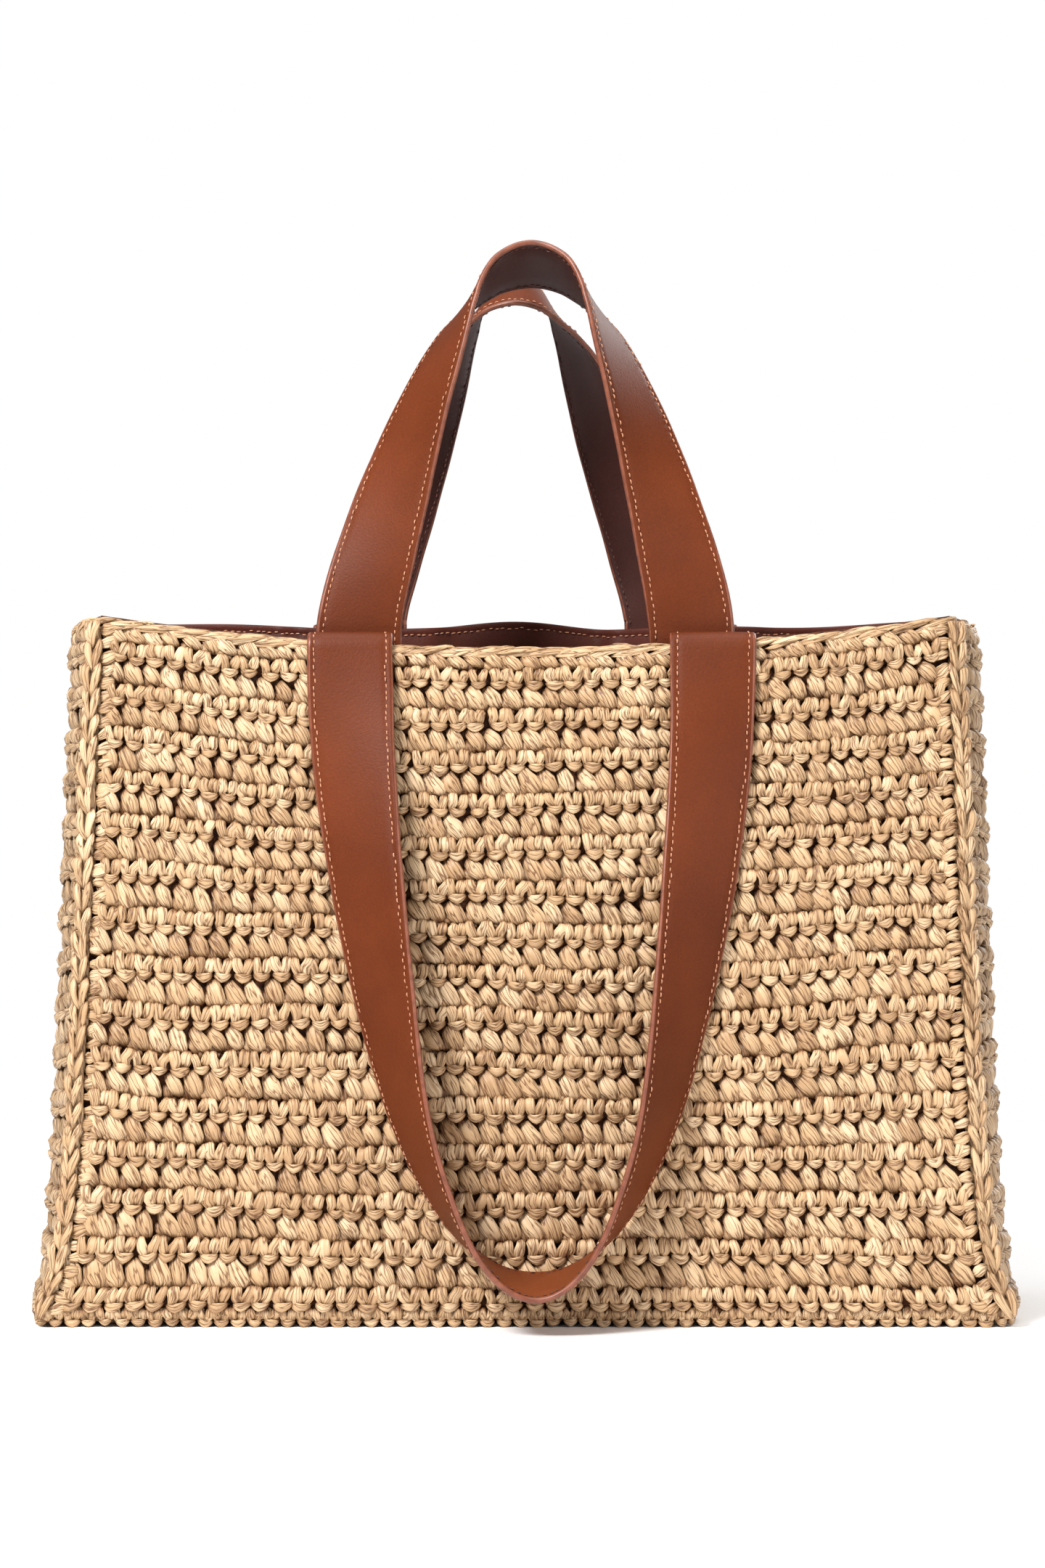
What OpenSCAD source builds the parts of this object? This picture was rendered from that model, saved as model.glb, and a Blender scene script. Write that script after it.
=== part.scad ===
// Crocheted raffia beach tote with two grab handles and two shoulder straps.
// Millimetres, +Z up. Origin: middle of the base, on the surface that the bag stands on.
// The front of the bag faces -Y and +X is the right-hand side seen from the front.

/* [Body] */
// Outer width of the base at the middle of its bowed sides
base_w = 498; // [492:1:506]
// Outer width of the base at its corners
base_corner_w = 490; // [484:1:494]
// Outer depth of the base
base_d = 170; // [165:1:180]
// Outer width of the mouth
mouth_w = 434; // [425:1:445]
// Outer depth of the mouth
mouth_d = 128; // [126:1:136]
// Height of the rim at its corners
body_h = 350; // [345:1:365]
// How far the front rim hangs down in its middle
front_rim_sag = 15; // [10:1:18]
// How far the back rim hangs down in its middle
back_rim_sag = 4; // [2:1:10]
// How far the rim hangs down in the middle of each side
side_rim_sag = 5; // [2:1:8]
// How far the bottom corners splay out past the straight side line
corner_flare = 16; // [12:1:20]
// How far the front and back panels belly out
panel_belly = 4; // [2:0.5:5]
// How far the sides bulge out past the corner seams
gusset_bulge = 12; // [8:1:13]
// Thickness of the crocheted wall
wall = 8; // [8:0.5:9]

/* [Lining and facing] */
// Height of the leather facing inside the mouth
facing_h = 46; // [44:1:50]
// Thickness of the facing leather
facing_t = 1.4; // [1.2:0.1:1.6]
// How far the back facing stands above the rim
facing_rise = 3; // [2:0.5:4]
// Thickness of the lining cloth
lining_t = 1; // [0.8:0.1:1.2]

/* [Leather straps] */
// Width of every strap
strap_w = 42.5; // [40:0.5:44]
// Thickness of every strap, both layers of leather together
strap_t = 3; // [2.6:0.2:3.2]
// Distance between the two feet of the front grab handle, middle to middle
front_handle_span = 166; // [162:1:170]
// Distance between the two feet of the back grab handle, middle to middle
back_handle_span = 156; // [150:1:160]
// Height of the front grab handle above its feet
front_handle_rise = 185; // [170:1:195]
// Height of the back grab handle above its feet
back_handle_rise = 169; // [160:1:180]
// Distance between the two feet of each shoulder strap, middle to middle
strap_span = 180; // [176:1:184]
// How far each shoulder strap hangs below the fold over the rim
strap_drop = 312; // [290:1:314]

/* [Hidden] */
// Crocheted edges: a square chain up each corner, and a half-round one along the rim
seam = 8;
edging = 8;
gap = 0.3;                     // clearance between neighbouring soft pieces
end_len = 36;                  // length of each strap end that is sewn in behind the facing
facing_gap = 0.8;              // between the crocheted wall and the facing away from the straps
facing_lift = 6.6;             // how much further in the facing stands where it covers strap ends
facing_ramp = 15;              // length over which the facing rises to that height
stitch_inset = 3.5;            // from the edge of the leather to the thread
thread_w = 0.8;
thread_t = 0.5;
thread_clear = 0.3;            // between the thread and the leather that it lies on
glue = 0.1;                    // between the two layers of a strap
fold_clear = 1.2;              // between the rim's edging and the strap that wraps it
wall_rows = 12;                // rows of facets up a wall; neighbouring pieces share them
back_handle_shift = -5;        // the back handle is sewn a little to the left of the middle
front_strap_shift = 3;         // and the front strap a little to the right
front_handle_lean = 3;         // sideways shift of the loop's far end
front_strap_lean = 2;
handle_setback = 28.5;         // how far a grab handle leans in over the mouth at its top
strap_clear = 2.5;             // between the hanging strap and the panel

flare_h = 30;                  // height over which the splay of the bottom corners dies out
belt_w = base_corner_w / 2 - corner_flare;
base_bulge = (base_w - base_corner_w) / 2;
rim_top = body_h - edging;     // where the panels end at the corners
fold_r = (edging + strap_t) / 2 + fold_clear;      // middle of the strap as it wraps the rim
handle_stub = 2;               // leather each side of the handle's hinge line
facing_end = 2 * edging + 3;   // from a facing's end to the corner of the mouth

raffia = "#cda978";
raffia_dark = "#b8925f";
leather = "#8c4a2c";
leather_dark = "#5e3426";
thread_colour = "#dc966e";
cloth = "#b9a68c";

// A loop of strap from a foot to the middle of the loop, as a share of its own size:
// [sideways, backwards, along, twist in degrees].
front_handle_curve = [
    [1, 0, 0, 0], [0.89, 0.05, 0.23, 21], [0.675, 0.23, 0.557, 48], [0.47, 0.46, 0.8, 70],
    [0.36, 0.66, 0.895, 89], [0.2, 0.88, 0.972, 108], [0, 1, 1, 116]
];
back_handle_curve = [
    [1, 0, 0, 0], [0.87, 0.09, 0.22, 18], [0.59, 0.26, 0.585, 45], [0.41, 0.5, 0.8, 68],
    [0.31, 0.68, 0.89, 85], [0.17, 0.88, 0.97, 104], [0, 1, 1, 116]
];
strap_curve = [
    [1, 0, 0, 0], [0.97, 0, 0.2, 16], [0.86, 0, 0.46, 37], [0.69, 0, 0.72, 60],
    [0.48, 0, 0.88, 75], [0.245, 0, 0.97, 92], [0, 0, 1, 102]
];
handle_steps = 8;              // swept rings between two knots of a curve
strap_steps = 8;

// ---- Shape of the bag ----

// Half of the outer width and depth at height z, at the corner seams
function half_w(z) = mouth_w / 2 + (belt_w - mouth_w / 2) * (1 - z / body_h)
    + corner_flare * exp(-z / flare_h);
function half_d(z) = mouth_d / 2 + (base_d - mouth_d) / 2 * (1 - z / body_h);

// Height of the rim's top at share u (-1 to 1) of a side
function rim_z(u, sag) = body_h - sag * (1 - u * u);
function rim_at(x, sag) = rim_z(min(1, abs(x) / (mouth_w / 2)), sag);

// How far a panel stands out past the seams at share u across and h up
function belly(u, h) = panel_belly * (1 - u * u) * sin(180 * h);
function bulge(u, z) = (1 - pow(u, 4))
    * (gusset_bulge + (base_bulge - gusset_bulge) * exp(-z / flare_h));

// Outer face of the front wall and of the right side
function front_y(u, z, sag) = -(half_d(z) + belly(u, min(1, z / rim_z(u, sag))));
function side_x(u, z) = half_w(z) + bulge(u, z);

// Height of the axis that the shoulder straps fold round, at the middle of the rim's edging
function fold_z(sag) = rim_at(strap_span / 2 + strap_w / 2, sag) - edging / 2 - gap;
function fold_y(sag) = half_d(fold_z(sag)) - edging / 2;

// Distance of a sewn-in shoulder strap end, and of a grab handle's foot, from the middle plane
function strap_end_y(sag) = fold_y(sag) - fold_r;
function handle_y(sag) = strap_end_y(sag) - strap_t - gap;

// Height of the line that a grab handle swings about
function swing_z(sag) = fold_z(sag) + fold_r + strap_t / 2;

// ---- Grids and sweeps ----

function smooth(t) = let(s = max(0, min(1, t))) s * s * (3 - 2 * s);
function steps(a, b, n) = [for (i = [0:n]) a + (b - a) * i / n];
function joined(lists) = [for (list = lists, item = list) item];
function reversed(list) = [for (i = [len(list) - 1:-1:0]) list[i]];
function unit(v) = v / norm(v);

// A closed sheet between an outer and an inner grid of points. Seen from outside, a row runs to
// the right and the rows go up.
module slab(outer, inner) {
    cols = len(outer[0]);
    rows = len(outer);
    back = cols * rows;
    function at(c, r) = r * cols + c;
    function strip(a, b) = [[a, b, b + back], [a, b + back, a + back]];
    faces = joined(concat(
        [for (r = [0:rows - 2], c = [0:cols - 2]) [
            [at(c, r), at(c, r + 1), at(c + 1, r + 1)],
            [at(c, r), at(c + 1, r + 1), at(c + 1, r)],
            [at(c, r) + back, at(c + 1, r + 1) + back, at(c, r + 1) + back],
            [at(c, r) + back, at(c + 1, r) + back, at(c + 1, r + 1) + back]
        ]],
        [for (c = [0:cols - 2]) strip(at(c, 0), at(c + 1, 0))],
        [for (c = [0:cols - 2]) strip(at(c + 1, rows - 1), at(c, rows - 1))],
        [for (r = [0:rows - 2]) strip(at(0, r + 1), at(0, r))],
        [for (r = [0:rows - 2]) strip(at(cols - 1, r), at(cols - 1, r + 1))]
    ));
    polyhedron(concat(joined(outer), joined(inner)), faces);
}

// A solid swept through rings of points. Each ring turns clockwise seen along the sweep. Opposite
// sides are split along the same diagonal, so that layers of one strap lie close together.
module skin(rings, closed = false) {
    k = len(rings[0]);
    n = len(rings);
    sides = [for (i = [0:closed ? n - 1 : n - 2], j = [0:k - 1])
        let(a = i * k + j, b = i * k + (j + 1) % k, up = ((i + 1) % n) * k,
            c = up + (j + 1) % k, d = up + j)
            j < k / 2 ? [[a, b, c], [a, c, d]] : [[a, b, d], [b, c, d]]];
    caps = [[for (j = [k - 1:-1:0]) j], [for (j = [0:k - 1]) (n - 1) * k + j]];
    polyhedron(joined(rings), concat(joined(sides), closed ? [] : caps));
}

// ---- Crocheted raffia ----

// A wall of the front shape; the back wall is its mirror image
module wall_panel(sag) {
    us = steps(-1, 1, 16);
    hs = steps(0, 1, wall_rows);
    function height(u, h) = seam + gap + (rim_z(u, sag) - edging - seam - 2 * gap) * h;
    function grid(depth) = [for (h = hs) [for (u = us)
        let(z = height(u, h)) [u * (half_w(z) - seam - gap), front_y(u, z, sag) + depth, z]]];
    slab(grid(0), grid(wall));
}

module gusset() {
    us = steps(-1, 1, 8);
    hs = steps(0, 1, wall_rows);
    function height(u, h) = seam + gap + (rim_z(u, side_rim_sag) - edging - seam - 2 * gap) * h;
    function grid(depth) = [for (h = hs) [for (u = us)
        let(z = height(u, h)) [side_x(u, z) - depth, u * (half_d(z) - seam - gap), z]]];
    slab(grid(0), grid(wall));
}

// The chained seam up the front right corner
module corner_seam() {
    skin([for (z = steps(seam + gap, rim_top - gap, wall_rows))
        let(x = half_w(z), y = -half_d(z))
            [[x - seam, y, z], [x - seam, y + seam, z], [x, y + seam, z], [x, y, z]]]);
}

// A plate of the base's outline, with its sides bowed out, drawn in by inset all round
module bowed_plate(inset, corner, height) {
    w = base_corner_w / 2 - inset;
    d = base_d / 2 - inset;
    side = [for (u = steps(-1, 1, 16)) [w + base_bulge * (1 - pow(u, 4)), u * (d - corner)]];
    half = concat([[w - corner, -d]], side, [[w - corner, d]]);
    linear_extrude(height)
        polygon(concat(half, [for (p = half) -p]));
}

module base_seam_ring() {
    difference() {
        bowed_plate(0, seam / 2, seam);
        translate([0, 0, -1]) bowed_plate(seam, 2, seam + 2);
    }
}

module base_plate() {
    bowed_plate(seam + gap, 2, wall);
}

// Middle line of the rim's edging, counterclockwise from above
function rim_line() = let(
    r = edging / 2,
    front = [for (u = steps(-1, 1, 24)) let(z = rim_z(u, front_rim_sag))
        [u * (half_w(z) - 2 * edging), -(half_d(z) - r), z - r]],
    right = [for (u = steps(-1, 1, 8)) let(z = rim_z(u, side_rim_sag))
        [side_x(u, z) - r, u * (half_d(z) - 2 * edging), z - r]],
    back = [for (u = steps(1, -1, 24)) let(z = rim_z(u, back_rim_sag))
        [u * (half_w(z) - 2 * edging), half_d(z) - r, z - r]],
    left = [for (p = right) [-p.x, -p.y, p.z]]
) joined([front, right, back, left]);

// A half-round cord with a flat underside, all round the mouth
module rim_cord() {
    line = rim_line();
    n = len(line);
    r = edging / 2;
    section = concat([[-r, -r], [r, -r]], [for (a = [0:30:180]) r * [cos(a), sin(a)]]);
    skin([for (i = [0:n - 1])
        let(t = line[(i + 1) % n] - line[(i + n - 1) % n], out = unit([t.y, -t.x, 0]))
            [for (s = section) line[i] + s.x * out + [0, 0, s.y]]], closed = true);
}

// ---- Facing and lining ----

// How much further in the facing stands at x, where strap ends lie behind it
function lift(x) = let(
    inner = back_handle_span / 2 + back_handle_shift - strap_w / 2 - 1,
    outer = strap_span / 2 + front_strap_shift + strap_w / 2 + 1
) facing_lift * min(smooth((abs(x) - inner + facing_ramp) / facing_ramp),
                    smooth((outer + facing_ramp - abs(x)) / facing_ramp));

// Distance from the outer face of the wall to the outer face of the facing
function facing_depth(x) = wall + facing_gap + lift(x);

// A facing of the front shape; rise is how far its top stands above the rim
module wall_facing(sag, rise) {
    half = mouth_w / 2 - facing_end;
    function grid(depth) = [for (h = [0, 1]) [for (x = steps(-half, half, 56))
        [x, -mouth_d / 2 + facing_depth(x) + depth, rim_at(x, sag) + rise - facing_h * (1 - h)]]];
    slab(grid(0), grid(facing_t));
}

module side_facing() {
    half = mouth_d / 2 - facing_end;
    function grid(depth) = [for (h = [0, 1]) [for (u = steps(-1, 1, 6))
        [side_x(u, body_h) - wall - facing_gap - depth, u * half,
            rim_z(u, side_rim_sag) - gap - facing_h * (1 - h)]]];
    slab(grid(0), grid(facing_t));
}

// A thread along the top of a facing, on the side that shows inside the bag
module wall_facing_thread(sag, rise) {
    half = mouth_w / 2 - facing_end;
    skin([for (x = steps(-half, half, 56))
        let(z = rim_at(x, sag) + rise - stitch_inset,
            y = -mouth_d / 2 + facing_depth(x) + facing_t + thread_clear)
            [[x, y, z], [x, y + thread_t, z], [x, y + thread_t, z + thread_w], [x, y, z + thread_w]]]);
}

module side_facing_thread() {
    half = mouth_d / 2 - facing_end;
    skin([for (u = steps(-1, 1, 6))
        let(y = u * half, z = rim_z(u, side_rim_sag) - gap - stitch_inset,
            x = side_x(u, body_h) - wall - facing_gap - facing_t - thread_clear)
            [[x, y, z], [x - thread_t, y, z], [x - thread_t, y, z + thread_w], [x, y, z + thread_w]]]);
}

// One row of stitches through the facing and the strap ends behind it, at each foot
module end_stitch_rows(sag, feet) {
    pitch = 4.2;
    length = 2.8;
    count = 9;
    z = rim_at(feet[1], sag) - 14;
    y = -mouth_d / 2 + wall + facing_gap + facing_lift + facing_t + thread_w / 2 + thread_clear;
    for (x = feet, i = [0:count - 1])
        translate([x + (i - (count - 1) / 2) * pitch - length / 2, y, z])
            rotate([0, 90, 0]) cylinder(d = thread_w, h = length, $fn = 16);
}

// Ring of the lining at height z, clockwise from above, depth in from the outer faces
function lining_ring(z, depth) = let(
    w = half_w(z) - depth - 2,
    d = half_d(z) - depth - 2,
    front = [for (u = steps(1, -1, 8)) [u * w, front_y(u, z, front_rim_sag) + depth, z]],
    right = [for (u = steps(-1, 1, 4)) [side_x(u, z) - depth, u * d, z]]
) joined([
    front,
    [for (p = right) [-p.x, p.y, z]],
    [for (p = reversed(front)) [p.x, -p.y, z]],
    reversed(right)
]);

// A bag of cloth, open at the top, sewn to the bottom of the facings
module lining_bag() {
    floor_z = wall + gap;
    top = body_h - front_rim_sag - facing_h - gap - 3;
    outside = wall + facing_gap;
    heights = [0, 12, 34, 80, 150, 220];
    skin(joined([
        [for (h = heights) lining_ring(floor_z + h, outside)],
        [lining_ring(top, outside), lining_ring(top, outside + lining_t)],
        [for (h = reversed(heights))
            lining_ring(floor_z + max(h, lining_t), outside + lining_t)]
    ]));
}

// ---- Leather straps ----

// Catmull-Rom point between knots b and c
function between(a, b, c, d, t) = 0.5 * (2 * b + (c - a) * t + (2 * a - 5 * b + 4 * c - d) * t * t
    + (3 * b - a - 3 * c + d) * t * t * t);

// A smooth line through the knots that leaves both ends upright
function smooth_line(knots, n) = let(
    last = len(knots) - 1,
    first_lead = [knots[0][0], 2 * knots[0][1] - knots[1][1], 2 * knots[0][2] - knots[1][2], 0],
    end_lead = [knots[last][0], first_lead[1], first_lead[2], 0],
    p = concat([first_lead], knots, [end_lead])
) concat(
    [for (i = [1:last], k = [0:n - 1]) between(p[i - 1], p[i], p[i + 1], p[i + 2], k / n)],
    [knots[last]]
);

// Both halves of a loop, from the foot on side first (-1 left, 1 right) to the other one
function whole_loop(half, first, shift, lean) = let(
    n = len(half) - 1,
    top = half[n][2] - half[0][2],
    one = [for (k = half) let(dx = shift + lean * (k[2] - half[0][2]) / top)
        [first * k[0] + dx, k[1], k[2], k[3]]],
    other = [for (k = reversed([for (i = [0:n - 1]) half[i]]))
        let(dx = shift + lean * (k[2] - half[0][2]) / top)
            [-first * k[0] + dx, k[1], k[2], k[3]]]
) concat(one, other);

// Middle of the strap, direction across it towards the inside of the loop, and the grain side
function strap_frames(line) = let(n = len(line) - 1, xyz = [for (p = line) [p[0], p[1], p[2]]])
    [for (i = [0:n]) let(
        along = i == 0 || i == n ? [0, 0, sign(xyz[min(i + 1, n)].z - xyz[max(i - 1, 0)].z)]
            : unit(xyz[i + 1] - xyz[i - 1]),
        level = unit([along.z, 0, -along.x]),
        forward = unit([0, -1, 0] + along.y * along),
        twist = line[i][3]
    ) [xyz[i], level * cos(twist) + forward * sin(twist), forward * cos(twist) - level * sin(twist)]];

// One layer of a strap: from -> to across its width and low -> high through its thickness
module strap_layer(frames, from, to, low, high) {
    skin([for (f = frames) [for (s = [[from, low], [to, low], [to, high], [from, high]])
        f[0] + s.x * f[1] + s.y * f[2]]]);
}

module strap_leather(frames) {
    strap_layer(frames, -strap_w / 2, strap_w / 2, glue / 2, strap_t / 2);
}

module strap_backing(frames) {
    strap_layer(frames, -strap_w / 2, strap_w / 2, -strap_t / 2, -glue / 2);
}

// The thread along each edge of a strap
module strap_stitching(frames) {
    low = strap_t / 2 + thread_clear;
    for (side = [-1, 1])
        let(middle = side * (strap_w / 2 - stitch_inset))
            strap_layer(frames, middle - thread_w / 2, middle + thread_w / 2, low, low + thread_t);
}

// Knots of a grab handle of the front shape
function handle_knots(curve, span, rise, sag) = [for (k = curve) [
    k[0] * span / 2,
    -handle_y(sag) + k[1] * handle_setback,
    swing_z(sag) + handle_stub + k[2] * rise,
    k[3]
]];

// Knots of a shoulder strap that hangs down in front of the wall
function strap_knots(sag) = [for (k = strap_curve) let(z = fold_z(sag) - k[2] * strap_drop) [
    k[0] * strap_span / 2,
    k[2] == 0 ? -(fold_y(sag) + fold_r)
        : -(half_d(z) + belly(0, z / body_h) + strap_clear + strap_w / 2 * sin(k[3])),
    z,
    k[3]
]];

front_handle = strap_frames(smooth_line(whole_loop(
    handle_knots(front_handle_curve, front_handle_span, front_handle_rise, front_rim_sag),
    -1, 0, front_handle_lean), handle_steps));
back_handle = strap_frames(smooth_line(whole_loop(
    handle_knots(back_handle_curve, back_handle_span, back_handle_rise, back_rim_sag),
    -1, back_handle_shift, 0), handle_steps));
front_strap = strap_frames(smooth_line(whole_loop(
    strap_knots(front_rim_sag), 1, front_strap_shift, front_strap_lean), strap_steps));
back_strap = strap_frames(smooth_line(whole_loop(
    strap_knots(back_rim_sag), 1, 0, 0), strap_steps));

front_handle_feet = [-1, 1] * front_handle_span / 2;
back_handle_feet = [for (s = [-1, 1]) s * back_handle_span / 2 + back_handle_shift];
front_strap_feet = [for (s = [-1, 1]) s * strap_span / 2 + front_strap_shift];
back_strap_feet = [-1, 1] * strap_span / 2;

// The short stretch of a grab handle that flexes at the rim
module handle_bends(sag, feet) {
    for (x = feet)
        translate([x - strap_w / 2, -handle_y(sag) - strap_t / 2, swing_z(sag) - handle_stub])
            cube([strap_w, strap_t, 2 * handle_stub]);
}

module handle_ends(sag, feet) {
    length = end_len + fold_r;
    for (x = feet)
        translate([x - strap_w / 2, -handle_y(sag) - strap_t / 2, swing_z(sag) - handle_stub - length])
            cube([strap_w, strap_t, length]);
}

// The stretch of a shoulder strap that wraps over the rim
module strap_bends(sag, feet) {
    for (x = feet)
        translate([x - strap_w / 2, -fold_y(sag), fold_z(sag)])
            rotate([90, 0, 90])
                rotate_extrude(angle = 180, $fn = 64)
                    translate([fold_r - strap_t / 2, 0]) square([strap_t, strap_w]);
}

module strap_ends(sag, feet) {
    for (x = feet)
        translate([x - strap_w / 2, -strap_end_y(sag) - strap_t / 2, fold_z(sag) - end_len])
            cube([strap_w, strap_t, end_len]);
}

// ---- Nodes ----

module to_back() { mirror([0, 1, 0]) children(); }
module to_left() { mirror([1, 0, 0]) children(); }

module front_panel() { color(raffia) wall_panel(front_rim_sag); }
module back_panel() { color(raffia) to_back() wall_panel(back_rim_sag); }
module right_gusset() { color(raffia_dark) gusset(); }
module left_gusset() { color(raffia_dark) to_left() gusset(); }
module base_panel() { color(raffia_dark) base_plate(); }
module front_right_seam() { color(raffia) corner_seam(); }
module front_left_seam() { color(raffia) to_left() corner_seam(); }
module back_right_seam() { color(raffia) to_back() corner_seam(); }
module back_left_seam() { color(raffia) to_back() to_left() corner_seam(); }
module base_seam() { color(raffia) base_seam_ring(); }
module rim_edging() { color(raffia) rim_cord(); }
module front_facing() { color(leather_dark) wall_facing(front_rim_sag, -gap); }
module back_facing() { color(leather_dark) to_back() wall_facing(back_rim_sag, facing_rise); }
module right_facing() { color(leather_dark) side_facing(); }
module left_facing() { color(leather_dark) to_left() side_facing(); }
module facing_stitching() {
    color(thread_colour) {
        wall_facing_thread(front_rim_sag, -gap);
        to_back() wall_facing_thread(back_rim_sag, facing_rise);
        side_facing_thread();
        to_left() side_facing_thread();
    }
}
module strap_end_stitches() {
    color(thread_colour) {
        end_stitch_rows(front_rim_sag, front_handle_feet);
        to_back() end_stitch_rows(back_rim_sag, back_handle_feet);
    }
}
module lining() { color(cloth) lining_bag(); }

module front_handle_leather() { color(leather) strap_leather(front_handle); }
module front_handle_backing() { color(leather_dark) strap_backing(front_handle); }
module front_handle_stitching() { color(thread_colour) strap_stitching(front_handle); }
module front_handle_bends() { color(leather) handle_bends(front_rim_sag, front_handle_feet); }
module front_handle_ends() { color(leather) handle_ends(front_rim_sag, front_handle_feet); }

module back_handle_leather() { color(leather) to_back() strap_leather(back_handle); }
module back_handle_backing() { color(leather_dark) to_back() strap_backing(back_handle); }
module back_handle_stitching() { color(thread_colour) to_back() strap_stitching(back_handle); }
module back_handle_bends() { color(leather) to_back() handle_bends(back_rim_sag, back_handle_feet); }
module back_handle_ends() { color(leather) to_back() handle_ends(back_rim_sag, back_handle_feet); }

module front_strap_leather() { color(leather) strap_leather(front_strap); }
module front_strap_backing() { color(leather_dark) strap_backing(front_strap); }
module front_strap_stitching() { color(thread_colour) strap_stitching(front_strap); }
module front_strap_bends() { color(leather) strap_bends(front_rim_sag, front_strap_feet); }
module front_strap_ends() { color(leather) strap_ends(front_rim_sag, front_strap_feet); }

module back_strap_leather() { color(leather) to_back() strap_leather(back_strap); }
module back_strap_backing() { color(leather_dark) to_back() strap_backing(back_strap); }
module back_strap_stitching() { color(thread_colour) to_back() strap_stitching(back_strap); }
module back_strap_bends() { color(leather) to_back() strap_bends(back_rim_sag, back_strap_feet); }
module back_strap_ends() { color(leather) to_back() strap_ends(back_rim_sag, back_strap_feet); }

front_panel();
back_panel();
left_gusset();
right_gusset();
base_panel();
front_left_seam();
front_right_seam();
back_left_seam();
back_right_seam();
base_seam();
rim_edging();
front_facing();
back_facing();
left_facing();
right_facing();
facing_stitching();
strap_end_stitches();
lining();
front_handle_leather();
front_handle_backing();
front_handle_stitching();
front_handle_bends();
front_handle_ends();
back_handle_leather();
back_handle_backing();
back_handle_stitching();
back_handle_bends();
back_handle_ends();
front_strap_leather();
front_strap_backing();
front_strap_stitching();
front_strap_bends();
front_strap_ends();
back_strap_leather();
back_strap_backing();
back_strap_stitching();
back_strap_bends();
back_strap_ends();
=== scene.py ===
"""Looks of a crocheted raffia tote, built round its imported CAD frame.

Everything is in metres in the CAD's frame: +Z up, the front faces -Y, and the base stands on z = 0.
Stitches and other small shapes are drawn in millimetres and placed in metres.
"""

import math

import bpy
import numpy as np
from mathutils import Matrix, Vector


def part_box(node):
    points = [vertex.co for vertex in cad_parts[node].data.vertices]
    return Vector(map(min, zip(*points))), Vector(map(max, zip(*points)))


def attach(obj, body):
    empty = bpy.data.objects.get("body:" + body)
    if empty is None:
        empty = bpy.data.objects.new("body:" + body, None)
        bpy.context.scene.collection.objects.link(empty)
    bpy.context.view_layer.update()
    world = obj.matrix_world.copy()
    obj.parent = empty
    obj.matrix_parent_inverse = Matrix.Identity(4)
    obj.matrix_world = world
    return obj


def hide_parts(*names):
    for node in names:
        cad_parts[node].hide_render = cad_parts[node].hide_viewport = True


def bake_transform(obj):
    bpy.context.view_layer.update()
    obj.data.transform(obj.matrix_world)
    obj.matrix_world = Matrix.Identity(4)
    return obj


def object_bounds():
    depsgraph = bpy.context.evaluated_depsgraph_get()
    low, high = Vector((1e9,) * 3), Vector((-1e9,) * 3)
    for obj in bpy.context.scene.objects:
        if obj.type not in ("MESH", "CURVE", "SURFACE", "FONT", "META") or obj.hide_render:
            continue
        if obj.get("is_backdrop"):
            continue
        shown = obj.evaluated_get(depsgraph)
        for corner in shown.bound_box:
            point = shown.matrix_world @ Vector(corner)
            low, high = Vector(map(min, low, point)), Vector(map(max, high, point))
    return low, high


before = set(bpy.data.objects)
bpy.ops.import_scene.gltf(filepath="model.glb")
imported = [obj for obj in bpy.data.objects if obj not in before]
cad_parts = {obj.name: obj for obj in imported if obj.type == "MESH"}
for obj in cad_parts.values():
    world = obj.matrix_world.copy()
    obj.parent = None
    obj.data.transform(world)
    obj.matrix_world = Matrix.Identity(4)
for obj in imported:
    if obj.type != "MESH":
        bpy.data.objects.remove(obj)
cad_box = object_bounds()

# ---- Sizes: the outer ones from the frame, and the shapes between them as in the part ----

MM = 0.001
FRONT, BACK = -1, 1
LEFT, RIGHT = -1, 1

# Grab handles: span between the middles of the feet, rise over the swing axis, shift to the right,
# and further shift of the top.
handle_span = {FRONT: 166 * MM, BACK: 156 * MM}
handle_rise = {FRONT: 185 * MM, BACK: 169 * MM}
handle_shift = {FRONT: 0.0, BACK: -5 * MM}
handle_lean = {FRONT: 3 * MM, BACK: 0.0}

# Shoulder straps.
strap_span = 180 * MM
strap_drop = 312 * MM
strap_shift = {FRONT: 3 * MM, BACK: 0.0}
strap_lean = {FRONT: 2 * MM, BACK: 0.0}

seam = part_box("base_seam")[1].z            # thickness of the chained seams
base_half_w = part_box("base_seam")[1].x
base_half_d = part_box("base_seam")[1].y
body_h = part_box("rim_edging")[1].z
rim_r = seam / 2
facing_end = 19 * MM                       # from a facing's end to the mouth's corner
mouth_half_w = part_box("front_facing")[1].x + facing_end
mouth_half_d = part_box("right_facing")[1].y + facing_end
bends_low, bends_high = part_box("front_handle_bends")
strap_t = bends_high.y - bends_low.y
strap_w = bends_high.x - bends_low.x - handle_span[FRONT]

wall = 8 * MM                              # thickness of the crochet
corner_half_w = 245 * MM                   # at the corners of the base
flare = 16 * MM                            # how far the walls spread at the base
flare_h = 30 * MM
panel_belly = 4 * MM                       # how far the front and back walls stand out
gusset_bulge = 12 * MM
base_bulge = base_half_w - corner_half_w
belt_half_w = corner_half_w - flare
rim_sags = {FRONT: 15 * MM, BACK: 4 * MM}
side_sag = 5 * MM
facing_gap = 0.8 * MM                      # between a wall and the facing
facing_lift = 6.6 * MM                     # how far the facing stands in over the strap ends
facing_ramp = 15 * MM                      # length of the slope up to that
facing_t = 1.4 * MM
facing_h = 46 * MM
facing_rise = 3 * MM                       # how far the back facing's top stands over the rim
facing_drop = 0.3 * MM                     # how far the other facings' tops lie under it
fold_r = seam / 2 + strap_t / 2 + 1.2 * MM # a shoulder strap's bend over the rim
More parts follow.
